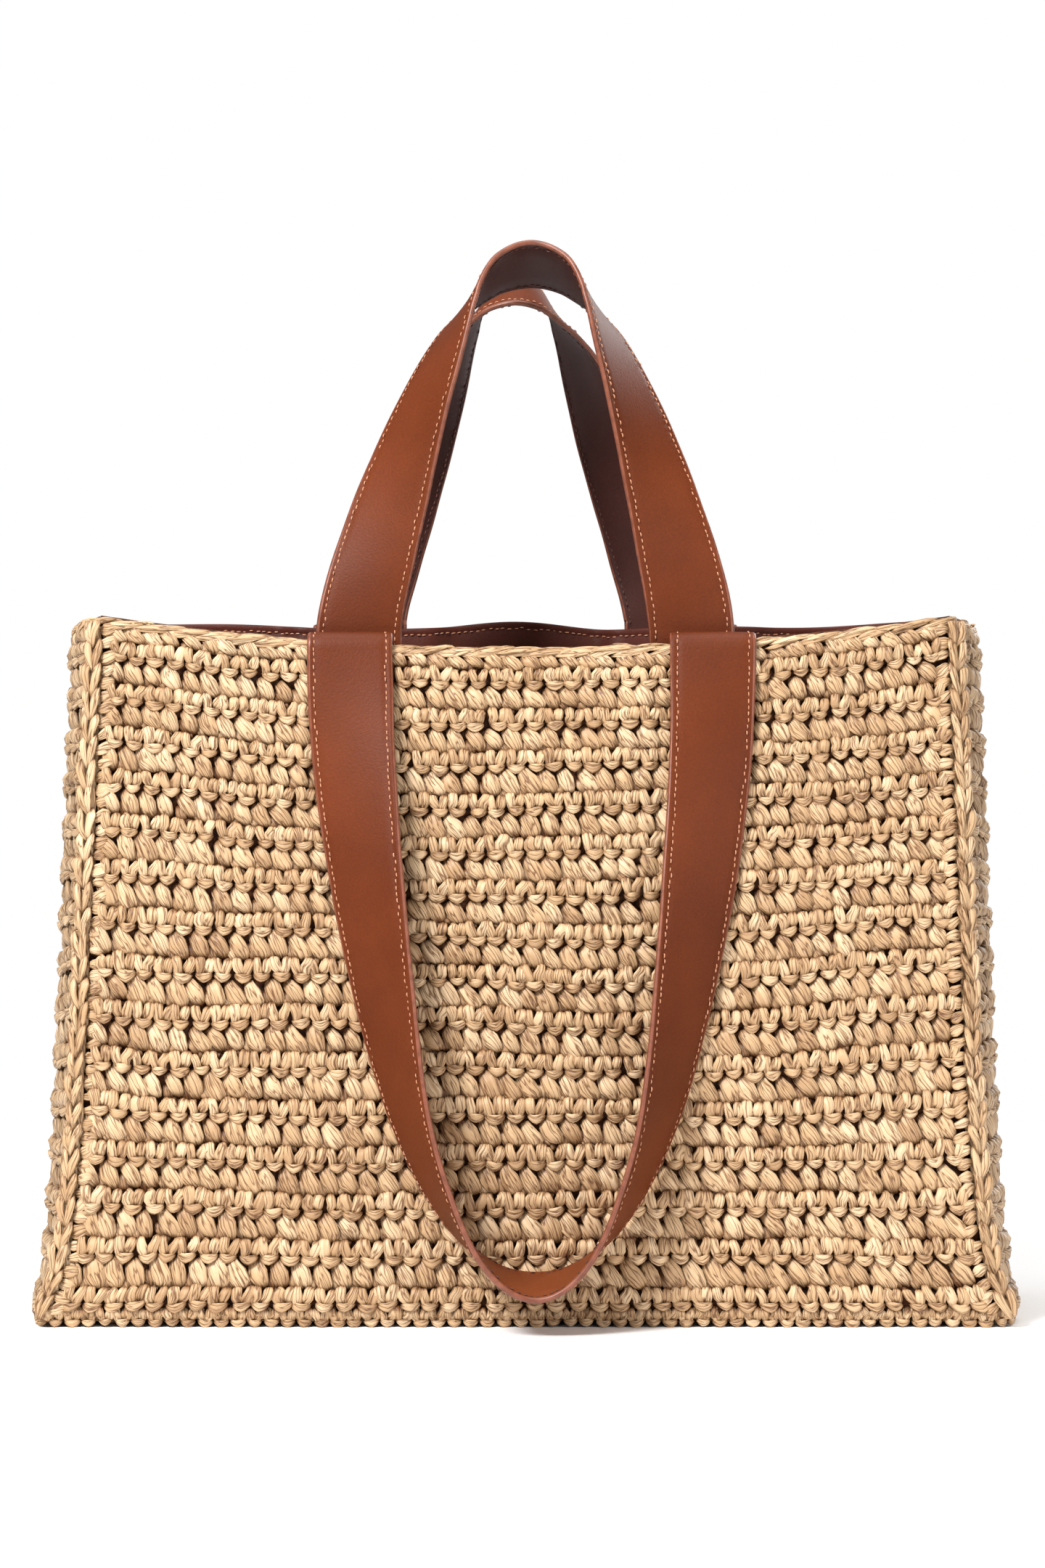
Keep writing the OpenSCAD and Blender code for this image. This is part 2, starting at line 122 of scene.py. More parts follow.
row_wander, row_ripple, side_wander = 1.6 * MM, 0.6 * MM, 1.8 * MM   # rise and fall of the rows
wall_ripple = 0.9 * MM                     # unevenness of the walls

# ---- Numbers on arrays ----

rng = np.random.default_rng(614)


def smooth(t):
    s = np.clip(t, 0, 1)
    return s * s * (3 - 2 * s)


def unit(v):
    return v / np.maximum(np.linalg.norm(v, axis=-1, keepdims=True), 1e-12)


def spline(knots, steps):
    """Catmull-Rom points through all the knots, with steps of them from each knot to the next."""
    k = np.asarray(knots, float)
    return through(np.vstack([2 * k[0] - k[1], k, 2 * k[-1] - k[-2]]), steps)


def through(k, steps):
    """Catmull-Rom points through the knots between the first and the last."""
    t = np.linspace(0, 1, steps, endpoint=False)[:, None]
    parts = []
    for a, b, c, d in zip(k[:-3], k[1:-2], k[2:-1], k[3:]):
        parts.append(
            0.5 * (2 * b + (c - a) * t + (2 * a - 5 * b + 4 * c - d) * t**2
                   + (3 * b - a - 3 * c + d) * t**3)
        )
    return np.vstack(parts + [k[-2][None]])


def distances(line):
    """Distance along a polyline at each of its points."""
    return np.concatenate([[0], np.cumsum(np.linalg.norm(np.diff(line, axis=0), axis=1))])


def between(places, at, values):
    """Rows of values, known at each of at, read off at places."""
    return np.stack([np.interp(places, at, column) for column in values.T], axis=-1)


def resample(values, count, line=None):
    """count rows of values, evenly spaced along a polyline, which is the values if none is given."""
    at = distances(values if line is None else line)
    return between(np.linspace(0, at[-1], count), at, values)


# ---- Faces between rings of points ----


def neighbours(n):
    """Each point of a ring and the next one round it."""
    return np.arange(n), (np.arange(n) + 1) % n


def tube(rings, n, closed=False):
    """Quads between neighbouring rings of n points, and from the last to the first if closed."""
    a, b = neighbours(n)
    here = np.arange(rings if closed else rings - 1)[:, None] * n
    there = (here + n) % (rings * n)
    return np.stack([here + a, here + b, there + b, there + a], axis=-1).reshape(-1, 4)


def cap(centre, a, b):
    """Triangles from one point to the edges from a to b."""
    return np.stack([np.full(len(a), centre), a, b], axis=1)


# ---- Shape of the bag ----


def half_w(z):
    """Half the width at the corners, at height z."""
    return (mouth_half_w + (belt_half_w - mouth_half_w) * (1 - z / body_h)
            + flare * np.exp(-z / flare_h))


def half_d(z):
    """Half the depth at the corners."""
    return mouth_half_d + (base_half_d - mouth_half_d) * (1 - z / body_h)


def rim_z(u, sag):
    """Height of the rim at u across, from -1 to 1."""
    return body_h - sag * (1 - u * u)


def side_x(u, z):
    """How far a side stands from the middle plane, bulging between its corners."""
    bulge = gusset_bulge + (base_bulge - gusset_bulge) * np.exp(-z / flare_h)
    return half_w(z) + bulge * (1 - u**4)


def row_z(u, v, sag, wander):
    """Height of a row at share v of the way up a wall. The rows wander most at half height."""
    return seam + (rim_z(u, sag) - rim_r - seam) * v + 4 * v * (1 - v) * wander


def wall_face(side, margin):
    """Outer face of the front or back wall at u across (-1 to 1) and v up (0 to 1)."""

    def at(u, v):
        wander = row_wander * np.sin(5 * u + 9 * v + side) + row_ripple * np.sin(14 * u - 7 * v)
        z = row_z(u, v, rim_sags[side], wander)
        out = half_d(z) + panel_belly * (1 - u * u) * np.sin(np.pi * np.clip(z / body_h, 0, 1))
        out = out + wall_ripple * np.sin(5 * u + 4 * v + 2 * side) * np.sin(np.pi * v)
        return np.stack([-side * u * (half_w(z) - margin), side * out, z], axis=-1)

    return at


def gusset_face(side, margin):
    """Outer face of the left (-1) or right (1) side."""

    def at(u, v):
        z = row_z(u, v, side_sag, side_wander * np.sin(5 * u + 8 * v + side))
        return np.stack([side * side_x(u, z), side * u * (half_d(z) - margin), z], axis=-1)

    return at


def base_face(margin):
    """Underside of the base: u to the right, v from the back to the front."""

    def at(u, v):
        y = (1 - 2 * v) * (base_half_d - margin)
        bow = base_bulge * (1 - (1 - 2 * v) ** 4)
        return np.stack([u * (corner_half_w + bow - margin), y, np.zeros_like(u * v)], axis=-1)

    return at


def on_face(face, u, v, out):
    """Points at distance out from a face."""
    step = 1e-3
    p = face(u, v)
    across = face(u + step, v) - face(u - step, v)
    up = face(u, v + step) - face(u, v - step)
    return p + unit(np.cross(across, up)) * out[..., None]


class Ribbon:
    """A line with a direction out of the bag at each point; shapes are laid along it."""

    def __init__(self, line, out, closed=False):
        self.closed = closed
        ends = line[:1] if closed else line[:0]
        self.line = np.vstack([line, ends])
        tangent = np.gradient(self.line, axis=0)
        if closed:
            tangent[0] = tangent[-1] = line[1] - line[-1]
        tangent = unit(tangent)
        out = np.vstack([out, out[:1] if closed else out[:0]])
        self.out = unit(out - np.sum(out * tangent, axis=1, keepdims=True) * tangent)
        self.side = np.cross(self.out, tangent)
        self.at = distances(self.line)
        self.length = self.at[-1]

    def place(self, along, across, out):
        if self.closed:
            along = np.mod(along, self.length)
        line, side, outward = (between(along, self.at, values)
                               for values in (self.line, self.side, self.out))
        return line + side * across[..., None] + outward * out[..., None]


# ---- Meshes ----


def make_mesh(name, verts, quads, tris, materials, fibre=None, slots=None):
    """A smooth-shaded object from arrays. fibre holds each point's place on its own strand and
    its depth below the top of its stitch, in millimetres."""
    mesh = bpy.data.meshes.new(name)
    quads = np.asarray(quads, np.int32).reshape(-1, 4)
    tris = np.asarray(tris, np.int32).reshape(-1, 3)
    mesh.vertices.add(len(verts))
    mesh.vertices.foreach_set("co", np.ascontiguousarray(verts, np.float32).ravel())
    mesh.loops.add(quads.size + tris.size)
    mesh.loops.foreach_set("vertex_index", np.concatenate([quads.ravel(), tris.ravel()]))
    mesh.polygons.add(len(quads) + len(tris))
    starts = np.concatenate([np.arange(len(quads)) * 4, quads.size + np.arange(len(tris)) * 3])
    mesh.polygons.foreach_set("loop_start", starts.astype(np.int32))
    if slots is not None:
        mesh.polygons.foreach_set("material_index", np.asarray(slots, np.int32))
    mesh.update(calc_edges=True)
    mesh.shade_smooth()
    for m in materials:
        mesh.materials.append(m)
    if fibre is not None:
        attribute = mesh.attributes.new("fibre", "FLOAT_VECTOR", "POINT")
        attribute.data.foreach_set("vector", np.ascontiguousarray(fibre[:, :3], np.float32).ravel())
        attribute = mesh.attributes.new("depth", "FLOAT", "POINT")
        attribute.data.foreach_set("value", np.ascontiguousarray(fibre[:, 3], np.float32))
    ob = bpy.data.objects.new(name, mesh)
    bpy.context.scene.collection.objects.link(ob)
    return ob


class Shape:
    """Vertices in millimetres, each with its fibre coordinates, and the faces between them."""

    def __init__(self, verts, fibre, quads, tris):
        self.verts, self.fibre, self.quads, self.tris = verts, fibre, quads, tris

    @staticmethod
    def joined(shapes):
        offsets = np.cumsum([0] + [len(s.verts) for s in shapes[:-1]])
        return Shape(
            np.vstack([s.verts for s in shapes]),
            np.vstack([s.fibre for s in shapes]),
            np.vstack([s.quads + o for s, o in zip(shapes, offsets)]),
            np.vstack([s.tris + o for s, o in zip(shapes, offsets)]),
        )


UNEVEN = 0.06                  # share by which the points round a strand vary in height
FULLNESS = 0.6                 # below 1, a strand's section is fuller than an ellipse


def strand(path, widths, thicks, rings, front, crease, tilt=0.0):
    """A closed leaf of folded raffia along a path of [along the row, up, out]. It has front points
    round its outer half and two behind. Two creases run along it, and tilt brings one edge out."""
    line = resample(spline(path, steps=6), rings + 2)
    share = np.linspace(0, 1, len(widths))
    t = np.linspace(0, 1, rings + 2)
    width = np.interp(t, share, widths)
    thick = np.interp(t, share, thicks)
    along = unit(np.gradient(line, axis=0))
    side = unit(np.cross([0, 0, 1.0], along))
    out = np.cross(along, side)
    angle = np.concatenate([np.linspace(0, np.pi, front), np.pi * np.array([4, 5]) / 3])
    n = len(angle)
    folds = rng.normal(0, UNEVEN, n)
    folds[rng.choice(np.arange(2, front - 2), 2, replace=False)] = crease
    wave = 1 - folds * np.sin(np.pi * t)[:, None] ** 0.5
    across = width[:, None] / 2 * np.cos(angle)
    round_it = np.sign(np.sin(angle)) * np.abs(np.sin(angle)) ** FULLNESS
    height = thick[:, None] / 2 * round_it * wave
    ring = (line[:, None] + side[:, None] * across[..., None]
            + out[:, None] * (height + tilt * across)[..., None])
    inner = ring[1:-1].reshape(-1, 3)
    verts = np.vstack([inner, line[:1], line[-1:]])
    length = np.linalg.norm(np.diff(line, axis=0), axis=1).sum()
    own = rng.uniform(0, 100)
    fibre = np.stack([np.tile(angle / np.pi * max(widths), (rings, 1)),
                      np.tile((t[1:-1] * length)[:, None], (1, n)),
                      np.full((rings, n), own)], axis=-1).reshape(-1, 3)
    ends = [[max(widths) / 2, 0, own], [max(widths) / 2, length, own]]
    a, b = neighbours(n)
    first, last = rings * n, (rings - 1) * n
    tris = np.vstack([cap(first, b, a), cap(first + 1, last + a, last + b)])
    return Shape(verts, np.vstack([fibre, ends]), tube(rings, n), tris)


def shaken(points, amount):
    return np.asarray(points, float) + rng.normal(0, amount, (len(points), 3))


def shaken_sizes(values, share):
    return np.asarray(values, float) * (1 + rng.normal(0, share, len(values)))


def mirrored(points):
    return [[-p[0], p[1], p[2]] for p in points]


# The middle lines of the strands are lists of [along the row, up, out] in millimetres, each with the
# strand's widths (_W) and thicknesses (_T) from its start to its end.
LOBE = [[0.8, 2.0, 0.6], [1.7, 4.6, 3.3], [2.6, 7.2, 4.9], [3.2, 9.8, 4.5], [3.3, 12.2, 1.0]]
LOBE_W = [2.2, 4.2, 5.3, 5.0, 3.2]
LOBE_T = [1.4, 2.6, 3.6, 3.6, 2.0]
BAR = [[-4.9, 4.0, 2.8], [-2.6, 2.7, 4.6], [0, 1.9, 5.4], [2.6, 2.7, 4.6], [4.9, 4.0, 2.8]]
BAR_W = [1.2, 3.4, 5.0, 3.4, 1.2]
BAR_T = [0.6, 1.8, 2.4, 1.8, 0.6]
LEAF = [[-4.4, 15.2, 1.0], [-3.2, 12.0, 3.5], [-0.5, 7.4, 4.7], [1.9, 3.4, 4.0], [3.2, 0.0, 1.2]]
LEAF_W = [4.2, 7.6, 8.8, 7.6, 2.4]
LEAF_T = [1.2, 3.2, 4.2, 3.6, 1.4]
HEEL = [[-5.6, 9.0, 0.6], [-4.6, 5.6, 2.7], [-2.8, 2.0, 2.9], [-1.4, -1.2, 0.8]]
HEEL_W = [2.0, 5.4, 5.6, 2.2]
HEEL_T = [0.8, 2.6, 2.6, 0.8]
TIP = [[-0.6, 3.0, 1.0], [-0.2, 0.8, 2.4], [0.2, -1.6, 2.4], [0.4, -3.2, 1.0]]
TIP_W = [1.4, 2.8, 2.6, 1.0]
TIP_T = [0.8, 1.6, 1.6, 0.6]
LEAF_PEAK = -0.2               # shift of a slanted stitch, so its peak stands between two bars


def v_stitch(rings, front):
    """Two lobes that fan out over a bar."""
    lobes = [
        strand(shaken(p, 0.45), shaken_sizes(LOBE_W, 0.1), LOBE_T, rings, front, crease=0.25)
        for p in (LOBE, mirrored(LOBE))
    ]
    bar = strand(shaken(BAR, 0.15), shaken_sizes(BAR_W, 0.06), BAR_T, rings, front, crease=0.1,
                 tilt=0.35)
    return Shape.joined(lobes + [bar])


def s_stitch(rings, front):
    """A fat leaf that leans to the left over a thinner one and the tip of a third."""
    leaf = strand(shaken(LEAF, 0.35), shaken_sizes(LEAF_W, 0.1), LEAF_T, rings, front, crease=0.4,
                  tilt=0.12)
    heel = strand(shaken(HEEL, 0.35), shaken_sizes(HEEL_W, 0.12), HEEL_T, rings - 1, front - 2,
                  crease=0.3)
    tip = strand(shaken(TIP, 0.4), shaken_sizes(TIP_W, 0.2), TIP_T, rings - 3, 6, crease=0.2)
    return Shape.joined([leaf, heel, tip])


LINK = [[9.0, 2.9, 0.6], [5.0, 2.8, 2.6], [-1.0, 1.7, 3.2], [-6.0, 0.4, 1.6], [-8.0, 0.1, 0.2]]
LINK_W = [1.2, 4.0, 3.8, 2.6, 0.6]
LINK_T = [1.0, 2.8, 3.0, 2.0, 0.8]
WRAP = [[0.8, -4.4, 0.2], [0.7, -2.0, 2.4], [-0.5, 1.6, 2.7], [-0.8, 4.2, 0.4]]
WRAP_W = [2.0, 5.6, 6.2, 2.4]
WRAP_T = [1.0, 2.8, 3.0, 1.2]
CORD = [[-13, -1.9, 0.2], [-6, -1.1, 1.3], [2, 0.4, 1.6], [9, 1.5, 1.0], [13, 1.8, 0.1]]
CORD_W = [0.8, 2.9, 3.6, 2.8, 0.8]
CORD_T = [0.6, 1.8, 2.0, 1.7, 0.6]


def chain_link(rings, front):
    """Two strands that meet at a point, as the links of a crocheted chain do."""
    other = [[p[0], -p[1], p[2]] for p in LINK]
    return Shape.joined([
        strand(shaken(p, 0.3), shaken_sizes(LINK_W, 0.1), LINK_T, rings, front, crease=0.25)
        for p in (LINK, other)
    ])


def wrap_stitch(rings, front):
    """A short strand wrapped across the line that it is laid along."""
    return strand(shaken(WRAP, 0.45), shaken_sizes(WRAP_W, 0.15), WRAP_T, rings, front, crease=0.25)


def cord_link(rings, front):
    """A long flat strand of the twisted cord round the rim."""
    return strand(shaken(CORD, 0.3), shaken_sizes(CORD_W, 0.12), CORD_T, rings, front, crease=0.3)


def variants(make, count, rings, front):
    return [make(rings, front) for _ in range(count)]


def spread(kinds, count, turn, scale, shift):
    """count shapes, each one of kinds with its own small turn, scale and shift. Yields each kind,
    the indices that use it, and their vertices in millimetres."""
    which = rng.integers(0, len(kinds), count)
    angle = rng.normal(0, turn, count)
    size = 1 + rng.normal(0, scale, count)
    move = rng.normal(0, 1, (count, 3)) * shift
    for i, shape in enumerate(kinds):
        index = np.nonzero(which == i)[0]
        if not len(index):
            continue
        middle = shape.verts.mean(axis=0)
        local = (shape.verts - middle)[None] * size[index, None, None]
        c, s = np.cos(angle[index])[:, None], np.sin(angle[index])[:, None]
        x = local[..., 0] * c - local[..., 1] * s
        y = local[..., 0] * s + local[..., 1] * c
        yield shape, index, np.stack([x, y, local[..., 2]], axis=-1) + middle + move[index, None]


def on_bag(piece, slot, *nodes):
    """Makes a piece move with the bag, in place of the CAD nodes. slot is not used."""
    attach(piece, "bag")
    if nodes:
        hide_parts(*nodes)


class Heap:
    """Collects placed copies of shapes and makes one object of them."""

    def __init__(self):
        self.parts = []
        self.count = 0

    def add(self, shape, points):
        copies, n = points.shape[:2]
        offset = self.count + np.arange(copies)[:, None, None] * n
        fibre = np.empty((copies, n, 4))
        fibre[..., :3] = shape.fibre
        fibre[..., 2] += rng.uniform(0, 100, (copies, 1))
        fibre[..., 3] = shape.verts[:, 2].max() - shape.verts[:, 2]
        self.parts.append((points.reshape(-1, 3), fibre.reshape(-1, 4),
                           (shape.quads[None] + offset).reshape(-1, 4),
                           (shape.tris[None] + offset).reshape(-1, 3)))
        self.count += copies * n

    def make(self, name, material):
        verts, fibre, quads, tris = (np.vstack(p) for p in zip(*self.parts))
        return make_mesh(name, verts, quads, tris, [material], fibre)


# ---- Materials ----


def srgb(r, g, b):
    """Linear colour from 8-bit screen values."""
    return tuple(c / 12.92 if c <= 0.04045 else ((c + 0.055) / 1.055) ** 2.4
                 for c in (r / 255, g / 255, b / 255))


class Nodes:
    """A material with a Principled shader, and short ways to add nodes to it."""

    def __init__(self, name, rough, **settings):
        self.material = bpy.data.materials.new(name)
        self.material.use_nodes = True
        self.tree = self.material.node_tree
        self.shader = self.tree.nodes["Principled BSDF"]
        self.shader.inputs["Roughness"].default_value = rough
        for key, value in settings.items():
            self.shader.inputs[key.replace("_", " ")].default_value = value

    def node(self, kind, links=(), **values):
        n = self.tree.nodes.new(kind)
        for key, value in values.items():
            setattr(n, key, value)
        for socket, source in dict(links).items():
            if isinstance(source, bpy.types.NodeSocket):
                self.tree.links.new(source, n.inputs[socket])
            else:
                n.inputs[socket].default_value = source
        return n

    def ramp(self, fac, stops):
        n = self.node("ShaderNodeValToRGB", {"Fac": fac})
        elements = n.color_ramp.elements
        while len(elements) < len(stops):
            elements.new(0.5)
        for e, (at, colour) in zip(elements, stops):
            e.position = at
            e.color = (*colour, 1)
        return n.outputs["Color"]

    def shades(self, fac, stops):
        """A ramp of 8-bit screen colours."""
        return self.ramp(fac, [(at, srgb(*colour)) for at, colour in stops])

    def math(self, operation, a, b=0.0, c=0.0):
        return self.node("ShaderNodeMath", {0: a, 1: b, 2: c}, operation=operation).outputs[0]

    def total(self, first, *others):
        """Sum of (source, weight) pairs."""
        result = self.math("MULTIPLY", *first)
        for source, weight in others:
            result = self.math("MULTIPLY_ADD", source, weight, result)
        return result

    def product(self, a, b):
        n = self.node("ShaderNodeMix", {0: 1.0, 6: a, 7: b}, data_type="RGBA", blend_type="MULTIPLY")
        return n.outputs[2]

    def noise(self, vector, scale, detail=3.0, rough=0.55):
        n = self.node("ShaderNodeTexNoise", {"Vector": vector, "Scale": scale, "Detail": detail,
                                             "Roughness": rough})
        return n.outputs["Fac"]

    def stretched(self, vector, scale):
        n = self.node("ShaderNodeVectorMath", {0: vector, 1: scale}, operation="MULTIPLY")
        return n.outputs["Vector"]

    def attribute(self, name, output="Vector"):
        return self.node("ShaderNodeAttribute", attribute_name=name).outputs[output]

    def place(self):
        return self.node("ShaderNodeTexCoord").outputs["Object"]

    def colour(self, socket):
        self.tree.links.new(socket, self.shader.inputs["Base Color"])

    def rough(self, socket):
        self.tree.links.new(socket, self.shader.inputs["Roughness"])

    def bump(self, height, strength, distance):
        n = self.node("ShaderNodeBump", {"Height": height, "Strength": strength,
                                         "Distance": distance})
        self.tree.links.new(n.outputs["Normal"], self.shader.inputs["Normal"])


def raffia(name, dark, mid, light):
    """Flat paper raffia: each strand has its own tone, with fine creases along it drawn as bumps and
    as dark lines of painted shade, and painted shade that darkens it with depth."""
    m = Nodes(name, 0.5)
    fibre = m.attribute("fibre")
    own = m.node("ShaderNodeTexWhiteNoise", {"Vector": m.stretched(fibre, (0, 0, 1))},
                 noise_dimensions="3D").outputs["Value"]
    streaks = m.noise(m.stretched(fibre, (1.3, 0.10, 1.0)), 1.0, 3.0, 0.5)
    fine = m.noise(m.stretched(fibre, (5.0, 0.30, 1.0)), 1.0, 2.0, 0.5)
    fold = m.noise(m.stretched(fibre, (0.8, 0.07, 1.0)), 1.0, 1.0, 0.5)
    fold = m.math("ABSOLUTE", m.math("SUBTRACT", fold, 0.5))
    patch = m.noise(m.place(), 9.0, 2.0)
    tone = m.total((own, 0.30), (streaks, 0.45), (fine, 0.12), (patch, 0.12))
    ground = m.shades(tone, [(0.25, dark), (0.50, mid), (0.75, light)])
    # Thin dark lines along the strands: painted shade in the creases, which the bump at the end also
    # cuts in.
    crease = m.ramp(fold, [(0.0, (0.26, 0.15, 0.07)), (0.06, (1, 1, 1))])
    # Painted shade: the deeper a point lies below the top of its stitch, the darker it is.
    painted_depth_shade = m.ramp(m.math("MULTIPLY", m.attribute("depth", "Fac"), 0.2),
                  [(0.34, (1, 1, 1)), (0.85, (0.34, 0.20, 0.10))])
    m.colour(m.product(m.product(ground, crease), painted_depth_shade))
    m.rough(m.math("MULTIPLY_ADD", fine, 0.26, 0.36))
    cut = m.math("MINIMUM", m.math("MULTIPLY", fold, 9.0), 0.8)
    m.bump(m.total((streaks, 0.5), (cut, 1.0), (fine, 0.12)), 0.6, 0.5 * MM)
    return m.material


def leather(name, dark, mid, light, rough, grain, relief=0.11 * MM):
    """Leather with a pebble grain of the given size and relief, and slow changes of shade."""
    m = Nodes(name, rough, Specular_IOR_Level=0.18)
    place = m.place()
    pebble = m.node("ShaderNodeTexVoronoi", {"Vector": place, "Scale": 1 / grain},
                    feature="SMOOTH_F1").outputs["Distance"]
    broad = m.noise(place, 14.0, 3.0)
    fine = m.noise(place, 900.0, 2.0)
    m.colour(m.shades(m.total((broad, 0.7), (fine, 0.3)), [(0.30, dark), (0.52, mid), (0.74, light)]))
    m.rough(m.math("MULTIPLY_ADD", broad, 0.14, rough - 0.06))
    m.bump(m.total((pebble, -1.0), (fine, 0.5)), 0.8, relief)
    return m.material


def plain(name, dark, light, scale, rough, bump):
    """Thread, painted edges and other small things: two shades in fine noise."""
    m = Nodes(name, rough)
    grain = m.noise(m.place(), scale, 3.0)
    m.colour(m.shades(grain, [(0.35, dark), (0.65, light)]))
    m.bump(grain, bump, 0.2 * MM)
    return m.material


def cloth(name, dark, light, pitch):
    """Plain-woven cloth."""
    m = Nodes(name, 0.85, Sheen_Weight=0.2)
    place = m.place()
    warp, weft = (
        m.node("ShaderNodeTexWave", {"Vector": place, "Scale": 1 / pitch / 6.28, "Distortion": 0.4},
               bands_direction=way).outputs["Fac"]
        for way in ("X", "Z")
    )
    weave = m.total((warp, 0.5), (weft, 0.5))
    tone = m.total((weave, 0.4), (m.noise(place, 25.0, 3.0), 0.6))
    m.colour(m.shades(tone, [(0.25, dark), (0.75, light)]))
    m.bump(weave, 0.4, 0.2 * MM)
    return m.material


raffia_light = raffia("raffia", (156, 116, 77), (201, 165, 123), (230, 203, 167))
# A darker, greyer copy of the raffia for the sides and the base: painted shade.
raffia_shaded_side = raffia("raffia_shaded_side", (142, 110, 77), (182, 151, 115), (208, 181, 148))
# The back of the stitches in painted shade, as dark as the deep gaps between them.
painted_shade_core = plain("painted_shade_core", (44, 18, 4), (92, 48, 18), scale=300, rough=0.9, bump=0.6)
grain_leather = leather("strap_leather", (84, 34, 10), (98, 42, 13), (112, 50, 19),
                        rough=0.52, grain=0.95 * MM)
back_leather = leather("strap_backing", (54, 27, 22), (65, 34, 29), (78, 43, 36),
                       rough=0.5, grain=0.9 * MM, relief=0.04 * MM)
strap_back_leather = leather("strap_inner", (92, 40, 13), (108, 50, 18), (122, 60, 26),
                             rough=0.55, grain=0.95 * MM, relief=0.03 * MM)
facing_leather = leather("facing_leather", (66, 27, 18), (80, 35, 24), (94, 44, 32),
                         rough=0.5, grain=0.9 * MM)
edge_paint = plain("edge_paint", (108, 56, 36), (132, 74, 52), scale=220, rough=0.4, bump=0.3)
thread = plain("thread", (176, 118, 86), (204, 148, 114), scale=900, rough=0.6, bump=0.5)
inner_thread = plain("inner_thread", (72, 38, 26), (96, 52, 36), scale=900, rough=0.6, bump=0.5)
lining_cloth = cloth("lining_cloth", (84, 62, 44), (112, 84, 60), pitch=0.7 * MM)

# ---- Crocheted walls ----

FACE_DEPTH = 6.2               # millimetres from a wall's outer face to the stitches' own zero
BASE_DEPTH = 8.4               # the same for the base, deeper, as its stitches lie on the floor
CORE_DEPTH = 5.6 * MM          # from a wall's outer face to the core behind the stitches, dark with painted shade
BASE_CORE_DEPTH = 7.0 * MM
V_SHARE = 0.46                 # share of a pair of rows that the upper row takes
FIRST_ROW, LAST_ROW = 10.5, 8.0                      # heights in millimetres
WALL_PAIRS, TOP_PAIR, BOTTOM_PAIR = 14, 20.8, 23.8   # pairs of rows on a wall, and their heights
BASE_PAIRS, BASE_PAIR = 6, 22.5
WALL_COLUMNS, SIDE_COLUMNS = 44, 14                  # stitches in a row


def wall_rows(pairs, top, bottom):
    """Rows of a wall from the bottom up as (kind, low, high): a V row, pairs of a V row over a
    slanted one, and a short slanted row under the rim. Pairs are bottom high at first, and top high
    at last."""
    heights = [("v", FIRST_ROW)]
    for i in range(pairs):
        pitch = bottom + (top - bottom) * i / (pairs - 1)
        heights += [("s", pitch * (1 - V_SHARE)), ("v", pitch * V_SHARE)]
    heights.append(("s", LAST_ROW))
    total = sum(h for _, h in heights)
    rows, low = [], 0.0
    for kind, h in heights:
        rows.append((kind, low / total, (low + h) / total))
        low += h
    return rows


NOMINAL = {"v": 10.4, "s": 12.2}   # heights that the two stitches are drawn at
PITCH = 10.0                       # and their width
STANDS_OUT = {"v": 0.9, "s": -0.6} # how far each kind of row stands out
ROW_SHAKE = 0.08                   # of a column, by which whole rows of slanted stitches shift
COLUMN_SHAKE = 0.06                # of a column's half, by which single stitches shift
MOST_U = 1.05                      # a little past a face's edge, where stitches are pushed back


def crochet(name, node, face, rows, columns, kinds, material, sink, bands):
    """Rows of stitches over a face, in bands that are a piece each. The first replaces the node."""
    for g, group in enumerate(np.array_split(np.arange(len(rows)), bands)):
        heap = Heap()
        for r in group:
            kind, low, high = rows[r]
            shift = rng.normal(LEAF_PEAK, ROW_SHAKE) if kind == "s" else 0
            centres = -1 + 2 * (np.arange(columns) + 0.5 + shift) / columns
            centres += rng.normal(0, COLUMN_SHAKE / columns, columns)
            for shape, index, p in spread(kinds[kind], columns, turn=0.07, scale=0.05, shift=0.3):
                u = centres[index, None] + p[..., 0] / PITCH * 2 / columns
                v = low + (high - low) * p[..., 1] / NOMINAL[kind]
                out = (p[..., 2] + STANDS_OUT[kind] - sink) * MM
                heap.add(shape, on_face(face, np.clip(u, -MOST_U, MOST_U), v, out))
        piece = heap.make(f"{name}_rows_{g + 1}", material)
        on_bag(piece, "raffia", *([node] if g == 0 else []))


CORE_T = 1.5 * MM


def core(name, face, inset, nu=48, nv=40):
    """The closed back of the stitches, a slightly bumpy plate of nu by nv points a side, in painted
    shade.
    """
    u, v = np.meshgrid(np.linspace(-1.01, 1.01, nu), np.linspace(-0.01, 1.015, nv))
    bumps = 0.4 * MM * np.sin(40 * u) * np.sin(60 * v)
    outer = on_face(face, u, v, bumps - inset)
    inner = on_face(face, u, v, bumps - inset - CORE_T)
    verts = np.vstack([outer.reshape(-1, 3), inner.reshape(-1, 3)])
    c, r = np.meshgrid(np.arange(nu - 1), np.arange(nv - 1))
    a = (r * nu + c).ravel()
    front = np.stack([a, a + 1, a + nu + 1, a + nu], axis=1)
    back = front[:, ::-1] + nu * nv
    loop = np.concatenate([np.arange(nu), np.arange(1, nv) * nu + nu - 1,
                           nv * nu - 2 - np.arange(nu - 1), (nv - 2 - np.arange(nv - 2)) * nu])
    after = np.roll(loop, -1)
    rim = np.stack([loop, loop + nu * nv, after + nu * nv, after], axis=1)
    on_bag(make_mesh(name, verts, np.vstack([front, back, rim]), [], [painted_shade_core]), "raffia")


FINE = (10, 7, 13)             # variants, rings along a strand and points round its outer half
COARSE = (6, 6, 10)

fine_kinds = {"v": variants(v_stitch, *FINE), "s": variants(s_stitch, *FINE)}
coarse_kinds = {"v": variants(v_stitch, *COARSE), "s": variants(s_stitch, *COARSE)}

COLUMN_W = 5 * MM              # column of wrapped stitches beside each corner seam
wall_margin = seam + COLUMN_W - 2 * MM
side_margin = seam - 2 * MM
rows = wall_rows(WALL_PAIRS, TOP_PAIR, BOTTOM_PAIR)

